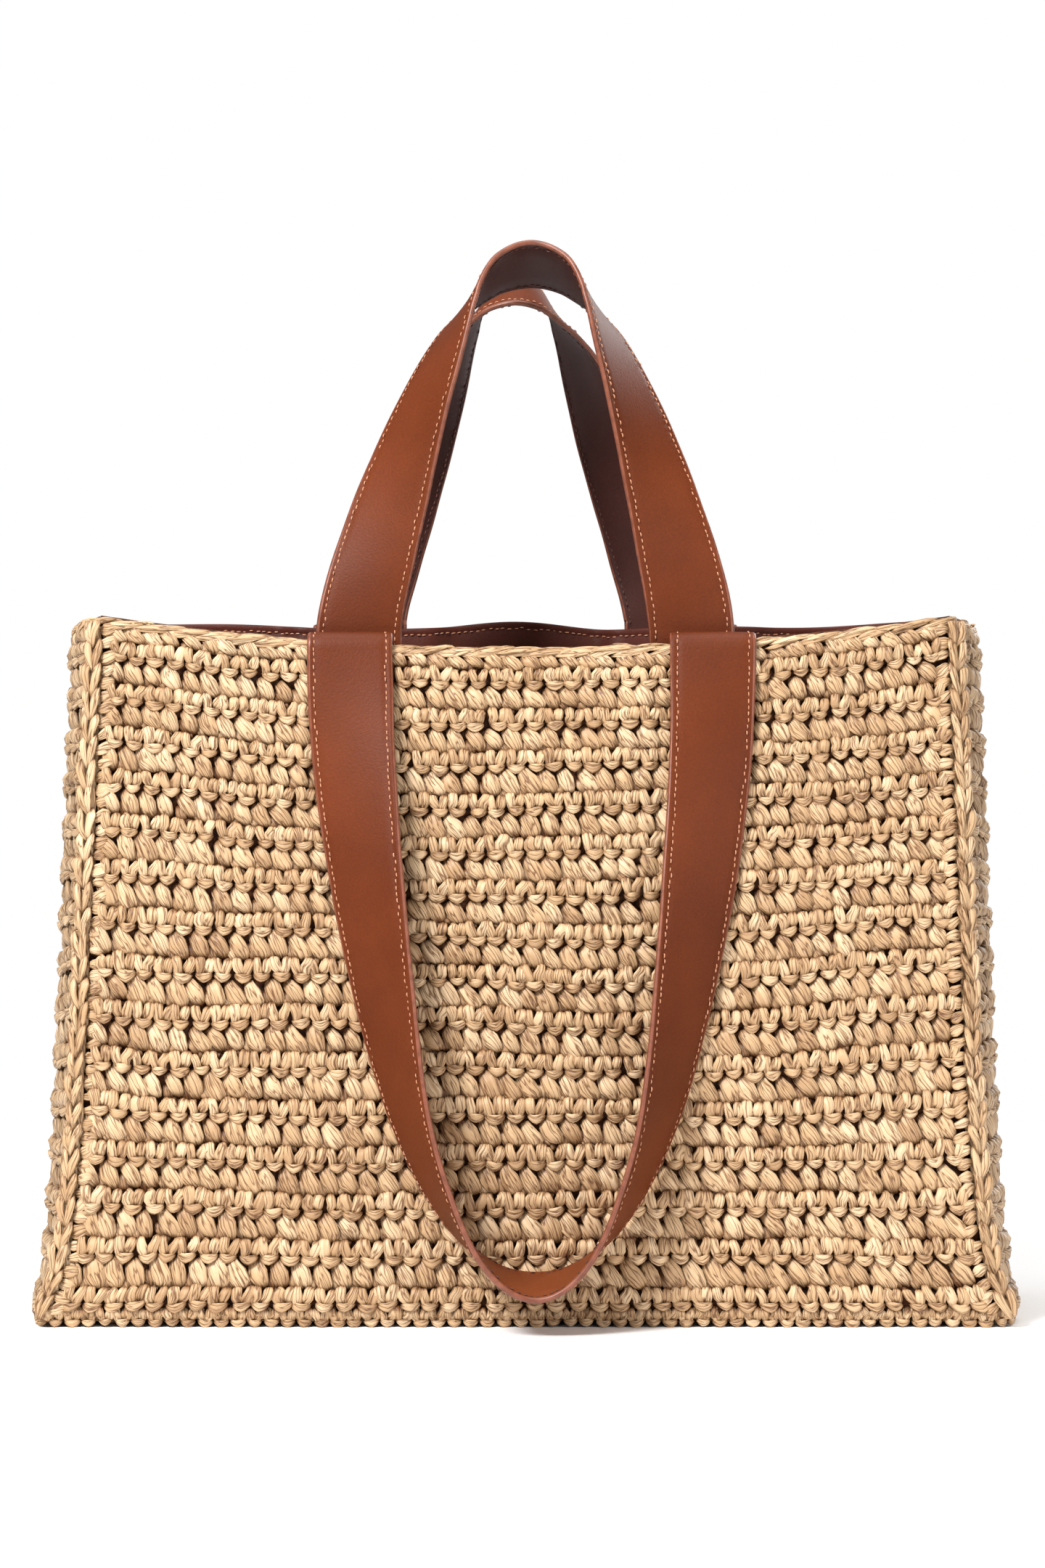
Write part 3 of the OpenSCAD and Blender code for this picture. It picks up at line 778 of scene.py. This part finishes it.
for side, word, kinds in ((FRONT, "front", fine_kinds), (BACK, "back", coarse_kinds)):
    crochet(f"{word}_wall", f"{word}_panel", wall_face(side, wall_margin), rows, WALL_COLUMNS, kinds,
            raffia_light, FACE_DEPTH, bands=6)
    core(f"{word}_wall_core", wall_face(side, seam), CORE_DEPTH)

for side, word in ((LEFT, "left"), (RIGHT, "right")):
    crochet(f"{word}_side", f"{word}_gusset", gusset_face(side, side_margin), rows, SIDE_COLUMNS,
            coarse_kinds, raffia_shaded_side, FACE_DEPTH, bands=3)
    core(f"{word}_side_core", gusset_face(side, seam), CORE_DEPTH, nu=20)

crochet("base", "base_panel", base_face(seam), wall_rows(BASE_PAIRS, BASE_PAIR, BASE_PAIR),
        WALL_COLUMNS, coarse_kinds, raffia_shaded_side, BASE_DEPTH, bands=3)
core("base_core", base_face(seam), BASE_CORE_DEPTH)

# ---- Seams ----

link_kinds = variants(chain_link, *FINE)
wrap_kinds = variants(wrap_stitch, *FINE)
cord_kinds = variants(cord_link, *FINE)


def lay(heap, ribbon, kinds, pitch, start, end, turn=0.06, across=0.0, out=0.0, size=1.0):
    """Lays shapes along a ribbon from start to end, at an even pitch."""
    count = max(1, int(round((end - start) / pitch)))
    places = start + (np.arange(count) + 0.5) * (end - start) / count
    for shape, index, p in spread(kinds, count, turn, scale=0.05, shift=(0.3, 0.25, 0.25)):
        heap.add(shape, ribbon.place(places[index, None] + size * p[..., 0] * MM,
                                     across + size * p[..., 1] * MM,
                                     out + size * p[..., 2] * MM))


# Pitches of the shapes.
LINK_PITCH = 12 * MM
WRAP_PITCH = 6.6 * MM
FILL_PITCH = 9 * MM
RIM_PITCH = 15 * MM
BASE_PITCH = 8.2 * MM

# Lines up a corner, as (in from the side, in from the wall, turn from the wall to the side).
CORNER_CHAIN = (4.2 * MM, 2.6 * MM, 0.45)
CORNER_CORDS = [(5.2 * MM, 5.4 * MM, 0.2), (5.2 * MM, 5.4 * MM, 1.3)]
CORNER_COLUMNS = [(seam + COLUMN_W / 2 + 0.5 * MM, 3.6 * MM, 0.0), (2.6 * MM, seam + 1.0 * MM, 1.35)]


def corner_seam(name, sx, sy):
    """A corner's chain, the cord that fills the corner behind it, and a column of wraps each side."""
    heap = Heap()
    z = np.linspace(4 * MM, body_h - 2 * MM, 80)

    def upright(x_in, y_in, turn):
        line = np.stack([sx * (half_w(z) - x_in), sy * (half_d(z) - y_in), z], axis=1)
        out = np.tile([sx * math.sin(turn), sy * math.cos(turn), 0.0], (len(z), 1))
        return Ribbon(line, out)

    chain = upright(*CORNER_CHAIN)
    lay(heap, chain, link_kinds, LINK_PITCH, 0, chain.length, size=1.05)
    for place in CORNER_CORDS:
        cord = upright(*place)
        lay(heap, cord, cord_kinds, FILL_PITCH, 0, cord.length, size=1.25)
    for place in CORNER_COLUMNS:
        column = upright(*place)
        lay(heap, column, wrap_kinds, WRAP_PITCH, 2 * MM, column.length - 1 * MM, turn=0.15)
    on_bag(heap.make(f"{name}_chain", raffia_light), "raffia", name)


for sx, left_right in ((LEFT, "left"), (RIGHT, "right")):
    for sy, front_back in ((FRONT, "front"), (BACK, "back")):
        corner_seam(f"{front_back}_{left_right}_seam", sx, sy)


def ring_line(height, inset, sags, corner):
    """Closed line round the bag at height(u, sag), counterclockwise from above."""
    u = np.linspace(-1, 1, 60)
    v = np.linspace(-1, 1, 24)
    zf, zb = height(u, sags[FRONT]), height(u, sags[BACK])
    zs = height(v, side_sag if sags[FRONT] else 0)
    front = np.stack([u * (half_w(zf) - corner), -(half_d(zf) - inset), zf], axis=1)
    right = np.stack([side_x(v, zs) - inset, v * (half_d(zs) - corner), zs], axis=1)
    back = np.stack([-u * (half_w(zb) - corner), half_d(zb) - inset, zb], axis=1)
    left = right * [-1, -1, 1]
    return np.vstack([front, right, back, left])


def flat_out(line):
    """Level directions out of a closed counterclockwise line."""
    t = np.roll(line, -1, axis=0) - np.roll(line, 1, axis=0)
    return unit(np.stack([t[:, 1], -t[:, 0], np.zeros(len(t))], axis=1))


def ring_of(name, node, line, layers, kinds, pitch, size=1.0):
    """Rings of shapes round the bag. A layer is (lean upward, start, rise across the line, out)."""
    heap = Heap()
    level = flat_out(line)
    for lean, start, rise, out in layers:
        direction = level * math.cos(lean) + np.array([0, 0, math.sin(lean)])
        ribbon = Ribbon(line, direction, closed=True)
        lay(heap, ribbon, kinds, pitch, start * MM, ribbon.length + start * MM, across=rise * MM,
            out=out * MM, size=size)
    on_bag(heap.make(name, raffia_light), "raffia", node)


rim = ring_line(lambda u, sag: rim_z(u, sag) - 0.8 * rim_r, 0.9 * rim_r, rim_sags, 9 * MM)
ring_of("rim_cord", "rim_edging", rim,
        [(0.0, 0.0, 0, 0.6), (0.9, 5.0, 0, 0.6), (1.9, 10.0, 0, 0.6), (3.0, 2.5, 0, 0.6)],
        cord_kinds, RIM_PITCH)

no_sag = {FRONT: 0.0, BACK: 0.0}
foot = ring_line(lambda u, sag: np.full_like(u, 4.6 * MM), 4.6 * MM, no_sag, 7 * MM)
ring_of("base_chain", "base_seam", foot, [(0.1, 0, -4.4, -3.2), (-0.9, 0, -5.0, -4.6)],
        fine_kinds["v"], BASE_PITCH, size=0.8)

# ---- Leather straps ----

# Half of each loop from its foot to its middle, as [share of half the span, share of the way in,
# share of the rise or drop, twist in degrees].
FRONT_HANDLE = [[1, 0, 0, 0], [0.89, 0.05, 0.23, 21], [0.675, 0.23, 0.557, 48], [0.47, 0.46, 0.8, 70],
                [0.36, 0.66, 0.895, 89], [0.2, 0.88, 0.972, 108], [0, 1, 1, 116]]
BACK_HANDLE = [[1, 0, 0, 0], [0.87, 0.09, 0.22, 18], [0.59, 0.26, 0.585, 45], [0.41, 0.5, 0.8, 68],
               [0.31, 0.68, 0.89, 85], [0.17, 0.88, 0.97, 104], [0, 1, 1, 116]]
SHOULDER = [[1, 0, 0, 0], [0.97, 0, 0.2, 16], [0.86, 0, 0.46, 37], [0.69, 0, 0.72, 60],
            [0.48, 0, 0.88, 75], [0.245, 0, 0.97, 92], [0, 0, 1, 102]]
SETBACK = 28.5 * MM            # how far a handle leans in
STUB = 2 * MM                  # straight length of a handle at its swing axis
STRAP_CLEAR = 2.5 * MM         # between a shoulder strap and the wall
STRAP_GAP = 0.3 * MM           # left between one piece and the next at the rim
END_LEN = 36 * MM              # sewn-in end of a strap
BEND_LEN = 10 * MM             # of a shoulder strap below the rim
LOOP_STEPS = 20                # points from each knot of a loop to the next
FRAME_STEP = 2.2 * MM          # between the rings of a strap's mesh


def rim_at(x, sag):
    return rim_z(np.minimum(1, np.abs(x) / mouth_half_w), sag)


def fold_z(sag):
    return float(rim_at(strap_span / 2 + strap_w / 2, sag)) - rim_r - STRAP_GAP


def fold_y(sag):
    return half_d(fold_z(sag)) - rim_r


def handle_y(sag):
    return fold_y(sag) - fold_r - strap_t - STRAP_GAP


def swing_z(sag):
    return fold_z(sag) + fold_r + strap_t / 2


def handle_knots(side, curve):
    sag = rim_sags[side]
    return [[across * handle_span[side] / 2, -handle_y(sag) + inward * SETBACK,
             swing_z(sag) + STUB + up * handle_rise[side], twist]
            for across, inward, up, twist in curve]


def strap_knots(side):
    sag = rim_sags[side]
    knots = []
    for across, _, along, twist in SHOULDER:
        z = fold_z(sag) - along * strap_drop
        belly = panel_belly * math.sin(math.pi * z / body_h)
        y = -(half_d(z) + belly + STRAP_CLEAR + strap_w / 2 * math.sin(math.radians(twist)))
        if along == 0:
            y = -(fold_y(sag) + fold_r)
        knots.append([across * strap_span / 2, y, z, twist])
    return knots


def loop_line(half, first, shift, lean):
    """Smooth line of [x, y, z, twist] from the foot on side first to the other foot. shift moves
    the loop to the right, and lean moves its middle further."""
    half = np.array(half, float)
    top = half[-1, 2] - half[0, 2]
    dx = shift + lean * (half[:, 2] - half[0, 2]) / top
    one = half * [first, 1, 1, 1]
    other = half[-2::-1] * [-first, 1, 1, 1]
    one[:, 0] += dx
    other[:, 0] += dx[-2::-1]
    knots = np.vstack([one, other])
    leads = []
    for end, near in ((knots[0], knots[1]), (knots[-1], knots[-2])):
        leads.append([end[0], 2 * end[1] - near[1], 2 * end[2] - near[2], 0])
    return through(np.vstack([leads[:1], knots, leads[1:]]), LOOP_STEPS)


def loop_frames(line):
    """Middle, direction towards the inside of the loop, and grain side, for each point."""
    p = line[:, :3]
    along = unit(np.vstack([p[1:2] - p[:1], p[2:] - p[:-2], p[-1:] - p[-2:-1]]))
    for end in (0, -1):
        along[end] = [0, 0, np.sign(along[end, 2])]
    level = unit(np.stack([along[:, 2], np.zeros(len(p)), -along[:, 0]], axis=1))
    forward = unit(np.array([0, -1.0, 0]) + along[:, 1:2] * along)
    a = np.radians(line[:, 3])[:, None]
    return p, level * np.cos(a) + forward * np.sin(a), forward * np.cos(a) - level * np.sin(a)


def with_ends(frames, sag, folded):
    """Adds the sewn-in ends to both sides of a loop, and the fold over the rim if it has one."""
    p, inward, grain = frames
    rows = []
    for end in (0, -1):
        foot, w = p[end], inward[end]
        part = []
        if folded:
            centre = np.array([foot[0], -fold_y(sag), fold_z(sag)])
            for a in np.linspace(0, math.pi, 15)[1:-1]:
                g = np.array([0, -math.cos(a), math.sin(a)])
                part.append((centre + fold_r * g, w, g))
            for drop in (0, 0.3, 0.6, 1):
                at = centre + [0, fold_r, -drop * END_LEN]
                part.append((at, w, np.array([0, 1.0, 0])))
        else:
            for drop in (STUB, 2 * STUB, END_LEN / 2, END_LEN + fold_r):
                part.append((foot - [0, 0, drop], w, np.array([0, -1.0, 0])))
        rows.append(part)
    before = [np.array([r[i] for r in reversed(rows[0])]) for i in range(3)]
    after = [np.array([r[i] for r in rows[1]]) for i in range(3)]
    return [np.vstack([b, m, a]) for b, m, a in zip(before, (p, inward, grain), after)]


def even(frames):
    """The same strap with its frames evenly spaced."""
    middle = frames[0]
    length = distances(middle)[-1]
    joined = resample(np.hstack(frames), int(length / FRAME_STEP) + 1, middle)
    return joined[:, :3], unit(joined[:, 3:6]), unit(joined[:, 6:])


GROOVE = strap_w / 2 / MM - 3.5          # from the middle of a strap to its line of stitches
GRAIN, EDGE, INNER = 0, 1, 2             # material slots of a strap
GRAIN_PROFILE = [                        # (in from the edge, out, material) to near the middle, in mm
    (0.0, 0.0, EDGE), (0.2, 0.75, EDGE), (0.75, 1.25, EDGE), (1.55, 1.42, GRAIN), (2.55, 1.42, GRAIN),
    (3.5, 1.14, GRAIN), (4.45, 1.45, GRAIN), (7.25, 1.52, GRAIN), (12.25, 1.55, GRAIN),
    (18.25, 1.57, GRAIN),
]
INNER_PROFILE = [
    (0.2, -0.75, EDGE), (0.75, -1.25, EDGE), (1.55, -1.42, INNER), (2.55, -1.42, INNER),
    (3.5, -1.14, INNER), (4.45, -1.45, INNER), (12.25, -1.5, INNER),
]


def strap_profile():
    """(across, out, material) round a strap: over the grain side, and back along the inner side."""
    half = strap_w / 2 / MM

    def side(profile, way):
        return [(way * (half - inset), out, material) for inset, out, material in profile]

    return (side(GRAIN_PROFILE, -1) + side(GRAIN_PROFILE, 1)[::-1]
            + side(INNER_PROFILE, 1) + side(INNER_PROFILE, -1)[::-1])


def strap_mesh(name, frames, mirror, inner):
    """The leather of one strap, with slightly uneven edges."""
    p, w, g = frames
    profile = strap_profile()
    s = np.array([q[:2] for q in profile]) * MM
    slot = np.array([q[2] for q in profile])
    rings, k = len(p), len(s)
    at = np.linspace(0, 1, rings)
    edge = 1 + 0.006 * np.sin(38 * at) + 0.004 * np.sin(91 * at + 1)
    verts = (p[:, None] + w[:, None] * (s[:, 0] * edge[:, None])[..., None]
             + g[:, None] * np.broadcast_to(s[:, 1], (rings, k))[..., None]).reshape(-1, 3)
    quads = tube(rings, k)
    a, b = neighbours(k)
    first, last = rings * k, (rings - 1) * k
    tris = np.vstack([cap(first, b, a), cap(first + 1, last + a, last + b)])
    verts = np.vstack([verts, verts[:k].mean(axis=0), verts[-k:].mean(axis=0)])
    slots = np.concatenate([np.tile(slot, rings - 1), np.full(2 * k, EDGE)])
    if mirror:
        verts = verts * [1, -1, 1]
        quads, tris = quads[:, ::-1], tris[:, ::-1]
    return make_mesh(name, verts, quads, tris, [grain_leather, edge_paint, inner], None, slots)


STITCH_PITCH = 3.3 * MM
STITCH_LEN = 2.3
STITCH_END = 3 * MM            # from a strap's end to its first stitch
STITCH_SEAT = 1.2 * MM         # from the middle of a strap's thickness to its thread
STITCH_TURN = 0.03


def thread_stitch():
    """One stitch, a short rounded bar along the strap."""
    path = [[-STITCH_LEN / 2, -0.12, -0.25], [-0.6, -0.03, 0.28], [0.6, 0.03, 0.28],
            [STITCH_LEN / 2, 0.12, -0.25]]
    return strand(path, [0.3, 0.65, 0.65, 0.3], [0.3, 0.6, 0.6, 0.3], rings=4, front=6, crease=0.0)


def strap_stitches(name, frames, mirror, face, material):
    """Both rows of stitches on one face of a strap: face 1 is the grain side, -1 the inner."""
    p, w, g = frames
    heap = Heap()
    stitch = [thread_stitch()]
    for s in (-1, 1):
        line = p + w * s * GROOVE * MM + g * face * STITCH_SEAT
        ribbon = Ribbon(line, g * face)
        lay(heap, ribbon, stitch, STITCH_PITCH, STITCH_END, ribbon.length - STITCH_END,
            turn=STITCH_TURN)
    if mirror:
        heap.parts = [(v * [1, -1, 1], f, q[:, ::-1], t[:, ::-1]) for v, f, q, t in heap.parts]
    return heap.make(name, material)


def strap(word, line, side, folded):
    """One leather strap with its stitches, in place of its CAD parts. Lines are drawn for the front,
    and mirrored for the back."""
    sag, mirror = rim_sags[side], side == BACK
    whole = even(with_ends(loop_frames(line), sag, folded))
    inner = strap_back_leather if folded else back_leather
    piece = strap_mesh(f"{word}_strip", whole, mirror, inner)
    stitches = strap_stitches(f"{word}_thread", whole, mirror, 1, thread)
    under = strap_stitches(f"{word}_inner_thread", whole, mirror, -1, inner_thread)
    if folded:
        start = (0, side * (fold_y(sag) - fold_r), fold_z(sag))
        end = (0, side * (fold_y(sag) + fold_r + BEND_LEN), fold_z(sag))
    else:
        start = (0, side * handle_y(sag), swing_z(sag) - STUB)
        end = (0, side * handle_y(sag), swing_z(sag) + 7 * STUB)
    for ob, slot in ((piece, "leather"), (stitches, "thread"), (under, "thread")):
        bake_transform(ob)
    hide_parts(f"{word}_leather", f"{word}_backing", f"{word}_bends", f"{word}_ends")
    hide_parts(f"{word}_stitching")


for side, word, curve in ((FRONT, "front", FRONT_HANDLE), (BACK, "back", BACK_HANDLE)):
    line = loop_line(handle_knots(side, curve), LEFT, handle_shift[side], handle_lean[side])
    strap(f"{word}_handle", line, side, folded=False)
for side, word in ((FRONT, "front"), (BACK, "back")):
    line = loop_line(strap_knots(side), RIGHT, strap_shift[side], strap_lean[side])
    strap(f"{word}_strap", line, side, folded=True)

# ---- Facing and lining ----

FOOT_ROOM = 1 * MM             # left beside the strap ends behind the facing
inner_lift = handle_span[BACK] / 2 + handle_shift[BACK] - strap_w / 2 - FOOT_ROOM
outer_lift = strap_span / 2 + strap_shift[FRONT] + strap_w / 2 + FOOT_ROOM


def lift_at(x):
    """How far the facing stands in over the strap ends behind it."""
    rising = smooth((np.abs(x) - inner_lift + facing_ramp) / facing_ramp)
    falling = smooth((outer_lift + facing_ramp - np.abs(x)) / facing_ramp)
    return facing_lift * np.minimum(rising, falling)


HUMP_H, HUMP_HALF_W = 4.0 * MM, 52 * MM      # the back facing stands highest between its straps
RIPPLE_H, RIPPLE_L = 0.8 * MM, 19 * MM
HUMP_BASE = 1.0 * MM


def facing_line():
    """Plan of the facing's outer face with the height of its top, counterclockwise from above."""
    x = np.linspace(-1, 1, 160) * (mouth_half_w - facing_end)
    depth = wall + facing_gap
    front_y = -(mouth_half_d - depth - lift_at(x))
    front = np.stack([x, front_y, rim_at(x, rim_sags[FRONT]) - facing_drop], axis=1)
    hump = HUMP_H * np.cos(np.clip(x / HUMP_HALF_W, -1, 1) * np.pi / 2) ** 2
    wave = hump + RIPPLE_H * np.sin(x / RIPPLE_L) - HUMP_BASE
    back = np.stack([-x, -front_y, rim_at(x, rim_sags[BACK]) + facing_rise + wave], axis=1)
    u = np.linspace(-1, 1, 40)
    right = np.stack([side_x(u, body_h) - depth, u * (mouth_half_d - facing_end),
                      rim_z(u, side_sag) - facing_drop], axis=1)
    left = right * [-1, -1, 1]
    parts = [front, right, back, left]
    line = []
    for a, b in zip(parts, parts[1:] + parts[:1]):
        line.append(a)
        if abs(a[-1, 1]) > abs(b[0, 1]):
            corner = np.array([a[-1, 0], b[0, 1]])
        else:
            corner = np.array([b[0, 0], a[-1, 1]])
        r0, r1 = a[-1, :2] - corner, b[0, :2] - corner
        for t in np.linspace(0, 1, 8)[1:-1]:
            q = corner + r0 * math.cos(t * math.pi / 2) + r1 * math.sin(t * math.pi / 2)
            line.append(np.array([[*q, a[-1, 2] + (b[0, 2] - a[-1, 2]) * t]]))
    return np.vstack(line)


FACING_SEAM = 3.6 * MM         # from the facing's top down to the groove of its stitches


def facing():
    """The leather facing round the mouth, with a groove under its top, and the stitches there."""
    line = facing_line()
    inward = -flat_out(line)
    t = facing_t
    groove = [(t, 0.7 * MM - FACING_SEAM), (0.8 * t, -FACING_SEAM), (t, -0.7 * MM - FACING_SEAM)]
    profile = [(0, -facing_h), (0, -30 * MM), (0, -12 * MM), (0, -1 * MM), (0.3 * t, 0), (0.7 * t, 0),
               (t, -1 * MM), *groove, (t, -12 * MM), (t, -30 * MM), (t, -facing_h)]
    verts = np.stack([
        np.column_stack([line[:, :2] + inward[:, :2] * into, line[:, 2] + rise])
        for into, rise in profile
    ], axis=1).reshape(-1, 3)
    quads = tube(len(line), len(profile), closed=True)[:, ::-1]
    on_bag(make_mesh("mouth_facing", verts, quads, [], [facing_leather]), "facing_leather",
           "front_facing", "back_facing", "left_facing", "right_facing")

    heap = Heap()
    top = line + inward * (t - 0.1 * MM) - [0, 0, FACING_SEAM]
    ribbon = Ribbon(top, inward, closed=True)
    lay(heap, ribbon, [thread_stitch()], STITCH_PITCH, 0, ribbon.length, turn=STITCH_TURN)
    on_bag(heap.make("facing_thread", thread), "thread", "facing_stitching")


facing()

FOOT_STITCH_DROP = 14 * MM     # from the rim down to the stitches through a handle's foot
FOOT_STITCH_HALF_W = 19        # millimetres
FOOT_STITCH_PITCH = 4.2 * MM


def foot_stitches():
    """Rows of stitches through the facing and the strap ends behind it."""
    heap = Heap()
    y = mouth_half_d - wall - facing_gap - facing_lift - facing_t
    across = np.linspace(-FOOT_STITCH_HALF_W, FOOT_STITCH_HALF_W, 20) * MM
    for side in (FRONT, BACK):
        left, right = (handle_shift[side] + way * handle_span[side] / 2 for way in (LEFT, RIGHT))
        z = float(rim_at(right, rim_sags[side])) - FOOT_STITCH_DROP
        for x in (left, right):
            line = np.array([[x + a, side * y, z] for a in across])
            ribbon = Ribbon(line, np.tile([0.0, -side, 0.0], (len(line), 1)))
            lay(heap, ribbon, [thread_stitch()], FOOT_STITCH_PITCH, 0, ribbon.length, turn=STITCH_TURN)
    on_bag(heap.make("foot_thread", thread), "thread", "strap_end_stitches")


foot_stitches()

LINING_TURN = 14 * MM          # height over the base at which the cloth starts to turn in
LINING_TUCK = 10 * MM          # how far it has turned in at the base
LINING_FOLD = 1.4 * MM
LINING_CORNER = 22 * MM


def lining():
    """A cloth bag with soft folds that hangs from the facing and lies on the base."""
    depth = wall + facing_gap
    top = body_h - rim_sags[FRONT] - facing_h + 4 * MM
    floor = seam + 1.2 * MM
    levels = np.concatenate([np.linspace(top, floor + LINING_TURN, 26),
                             floor + LINING_TURN * np.array([0.6, 0.25, 0.05])])
    rings = []
    for z in levels:
        tuck = LINING_TUCK * max(0.0, 1 - (z - floor) / LINING_TURN) ** 2
        rings.append(ring_line(lambda u, sag: np.full_like(u, z), depth + tuck, no_sag, LINING_CORNER))
    rings = np.stack(rings)
    count = rings.shape[1]
    at = np.arange(count) / count * 2 * math.pi
    inward = -np.stack([flat_out(r) for r in rings])
    height = (rings[..., 2] - floor) / (top - floor)
    wave = np.sin(9 * at) + 0.7 * np.sin(17 * at + 1) + 0.5 * np.sin(31 * at + 5 * height)
    fold = LINING_FOLD * (wave + 2.4) * np.sin(np.pi * np.clip(height, 0, 1)) ** 0.7
    rings = rings + inward * fold[..., None]
    rings = np.concatenate([rings] + [rings[-1:] * [share, share, 1] for share in (0.9, 0.6, 0.3)])
    a, b = neighbours(count)
    verts = np.vstack([rings.reshape(-1, 3), rings[-1].mean(axis=0)])
    centre, last = len(verts) - 1, (len(rings) - 1) * count
    piece = make_mesh("lining_bag", verts, tube(len(rings), count), cap(centre, last + a, last + b),
                      [lining_cloth])
    on_bag(piece, "lining_cloth", "lining")


lining()

# ---- Studio ----

CAMERA_AWAY = 2.2              # from the front of the bag
VIEW_H = 0.777                 # height that the picture covers there
FRONT_PLANE = -0.065
CAMERA_X, CAMERA_Z = -0.0014, 0.2673
SENSOR = 36                    # millimetres
WORLD_LIGHT = 0.29             # strength of the surroundings' light on the bag
scene = bpy.context.scene
camera_data = bpy.data.cameras.new("camera")
camera_data.sensor_fit = "VERTICAL"
camera_data.sensor_height = SENSOR
camera_data.lens = SENSOR * CAMERA_AWAY / VIEW_H
camera = bpy.data.objects.new("camera", camera_data)
camera.location = (CAMERA_X, FRONT_PLANE - CAMERA_AWAY, CAMERA_Z)
camera.rotation_euler = (math.radians(90), 0, 0)
scene.collection.objects.link(camera)
scene.camera = camera


def area_light(name, place, aim, size, power):
    """A round soft light at a place, turned to an aim."""
    data = bpy.data.lights.new(name, "AREA")
    data.shape = "DISK"
    data.size = size
    data.energy = power
    ob = bpy.data.objects.new(name, data)
    ob.location = place
    direction = np.array(aim) - np.array(place)
    yaw = math.atan2(direction[1], direction[0])
    pitch = math.atan2(direction[2], math.hypot(direction[0], direction[1]))
    ob.rotation_euler = (math.pi / 2 + pitch, 0, yaw - math.pi / 2)
    scene.collection.objects.link(ob)


area_light("key", (-1.1, -1.7, 2.0), (0, 0, 0.2), size=0.8, power=98)
area_light("fill", (1.8, -1.6, 0.9), (0, 0, 0.25), size=1.6, power=19)
area_light("rear", (1.6, 2.0, 1.2), (0, 0, 0.25), size=1.6, power=34)
area_light("floor_light", (0, 0, 3.4), (0, 0.001, 0), size=2.4, power=60)


def white_world():
    """Surroundings that light the bag softly, and that the camera sees as plain white."""
    world = bpy.data.worlds.new("studio")
    world.use_nodes = True
    sky = world.node_tree
    lighting = sky.nodes["Background"]
    lighting.inputs["Color"].default_value = (1, 1, 1, 1)
    lighting.inputs["Strength"].default_value = WORLD_LIGHT
    white_wall = sky.nodes.new("ShaderNodeBackground")
    white_wall.inputs["Color"].default_value = (1, 1, 1, 1)
    seen = sky.nodes.new("ShaderNodeLightPath")
    which = sky.nodes.new("ShaderNodeMixShader")
    sky.links.new(seen.outputs["Is Camera Ray"], which.inputs["Fac"])
    sky.links.new(lighting.outputs["Background"], which.inputs[1])
    sky.links.new(white_wall.outputs["Background"], which.inputs[2])
    sky.links.new(which.outputs["Shader"], sky.nodes["World Output"].inputs["Surface"])
    scene.world = world


white_world()
scene.view_settings.view_transform = "Standard"


def floor_disc(radius, rings=12, spokes=64):
    """A pale round floor under the bag."""
    white = Nodes("floor", 0.9)
    speck = white.noise(white.place(), scale=0.7, detail=1.0)
    white.colour(white.ramp(speck, [(0.3, (0.93, 0.93, 0.93)), (0.7, (0.94, 0.94, 0.94))]))
    a, b = neighbours(spokes)
    turn = a * 2 * np.pi / spokes
    edge = np.stack([np.cos(turn), np.sin(turn), np.zeros(spokes)], axis=1)
    verts = np.vstack([edge * radius * (r + 1) / rings for r in range(rings)] + [np.zeros((1, 3))])
    quads = tube(rings, spokes)[:, ::-1]
    floor = make_mesh("floor", verts, quads, cap(rings * spokes, a, b), [white.material])
    floor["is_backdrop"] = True


floor_disc(1.3)

boxes = {"cad": cad_box, "visual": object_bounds()}
{k: [[float(c) for c in p] for p in b] for k, b in boxes.items()}
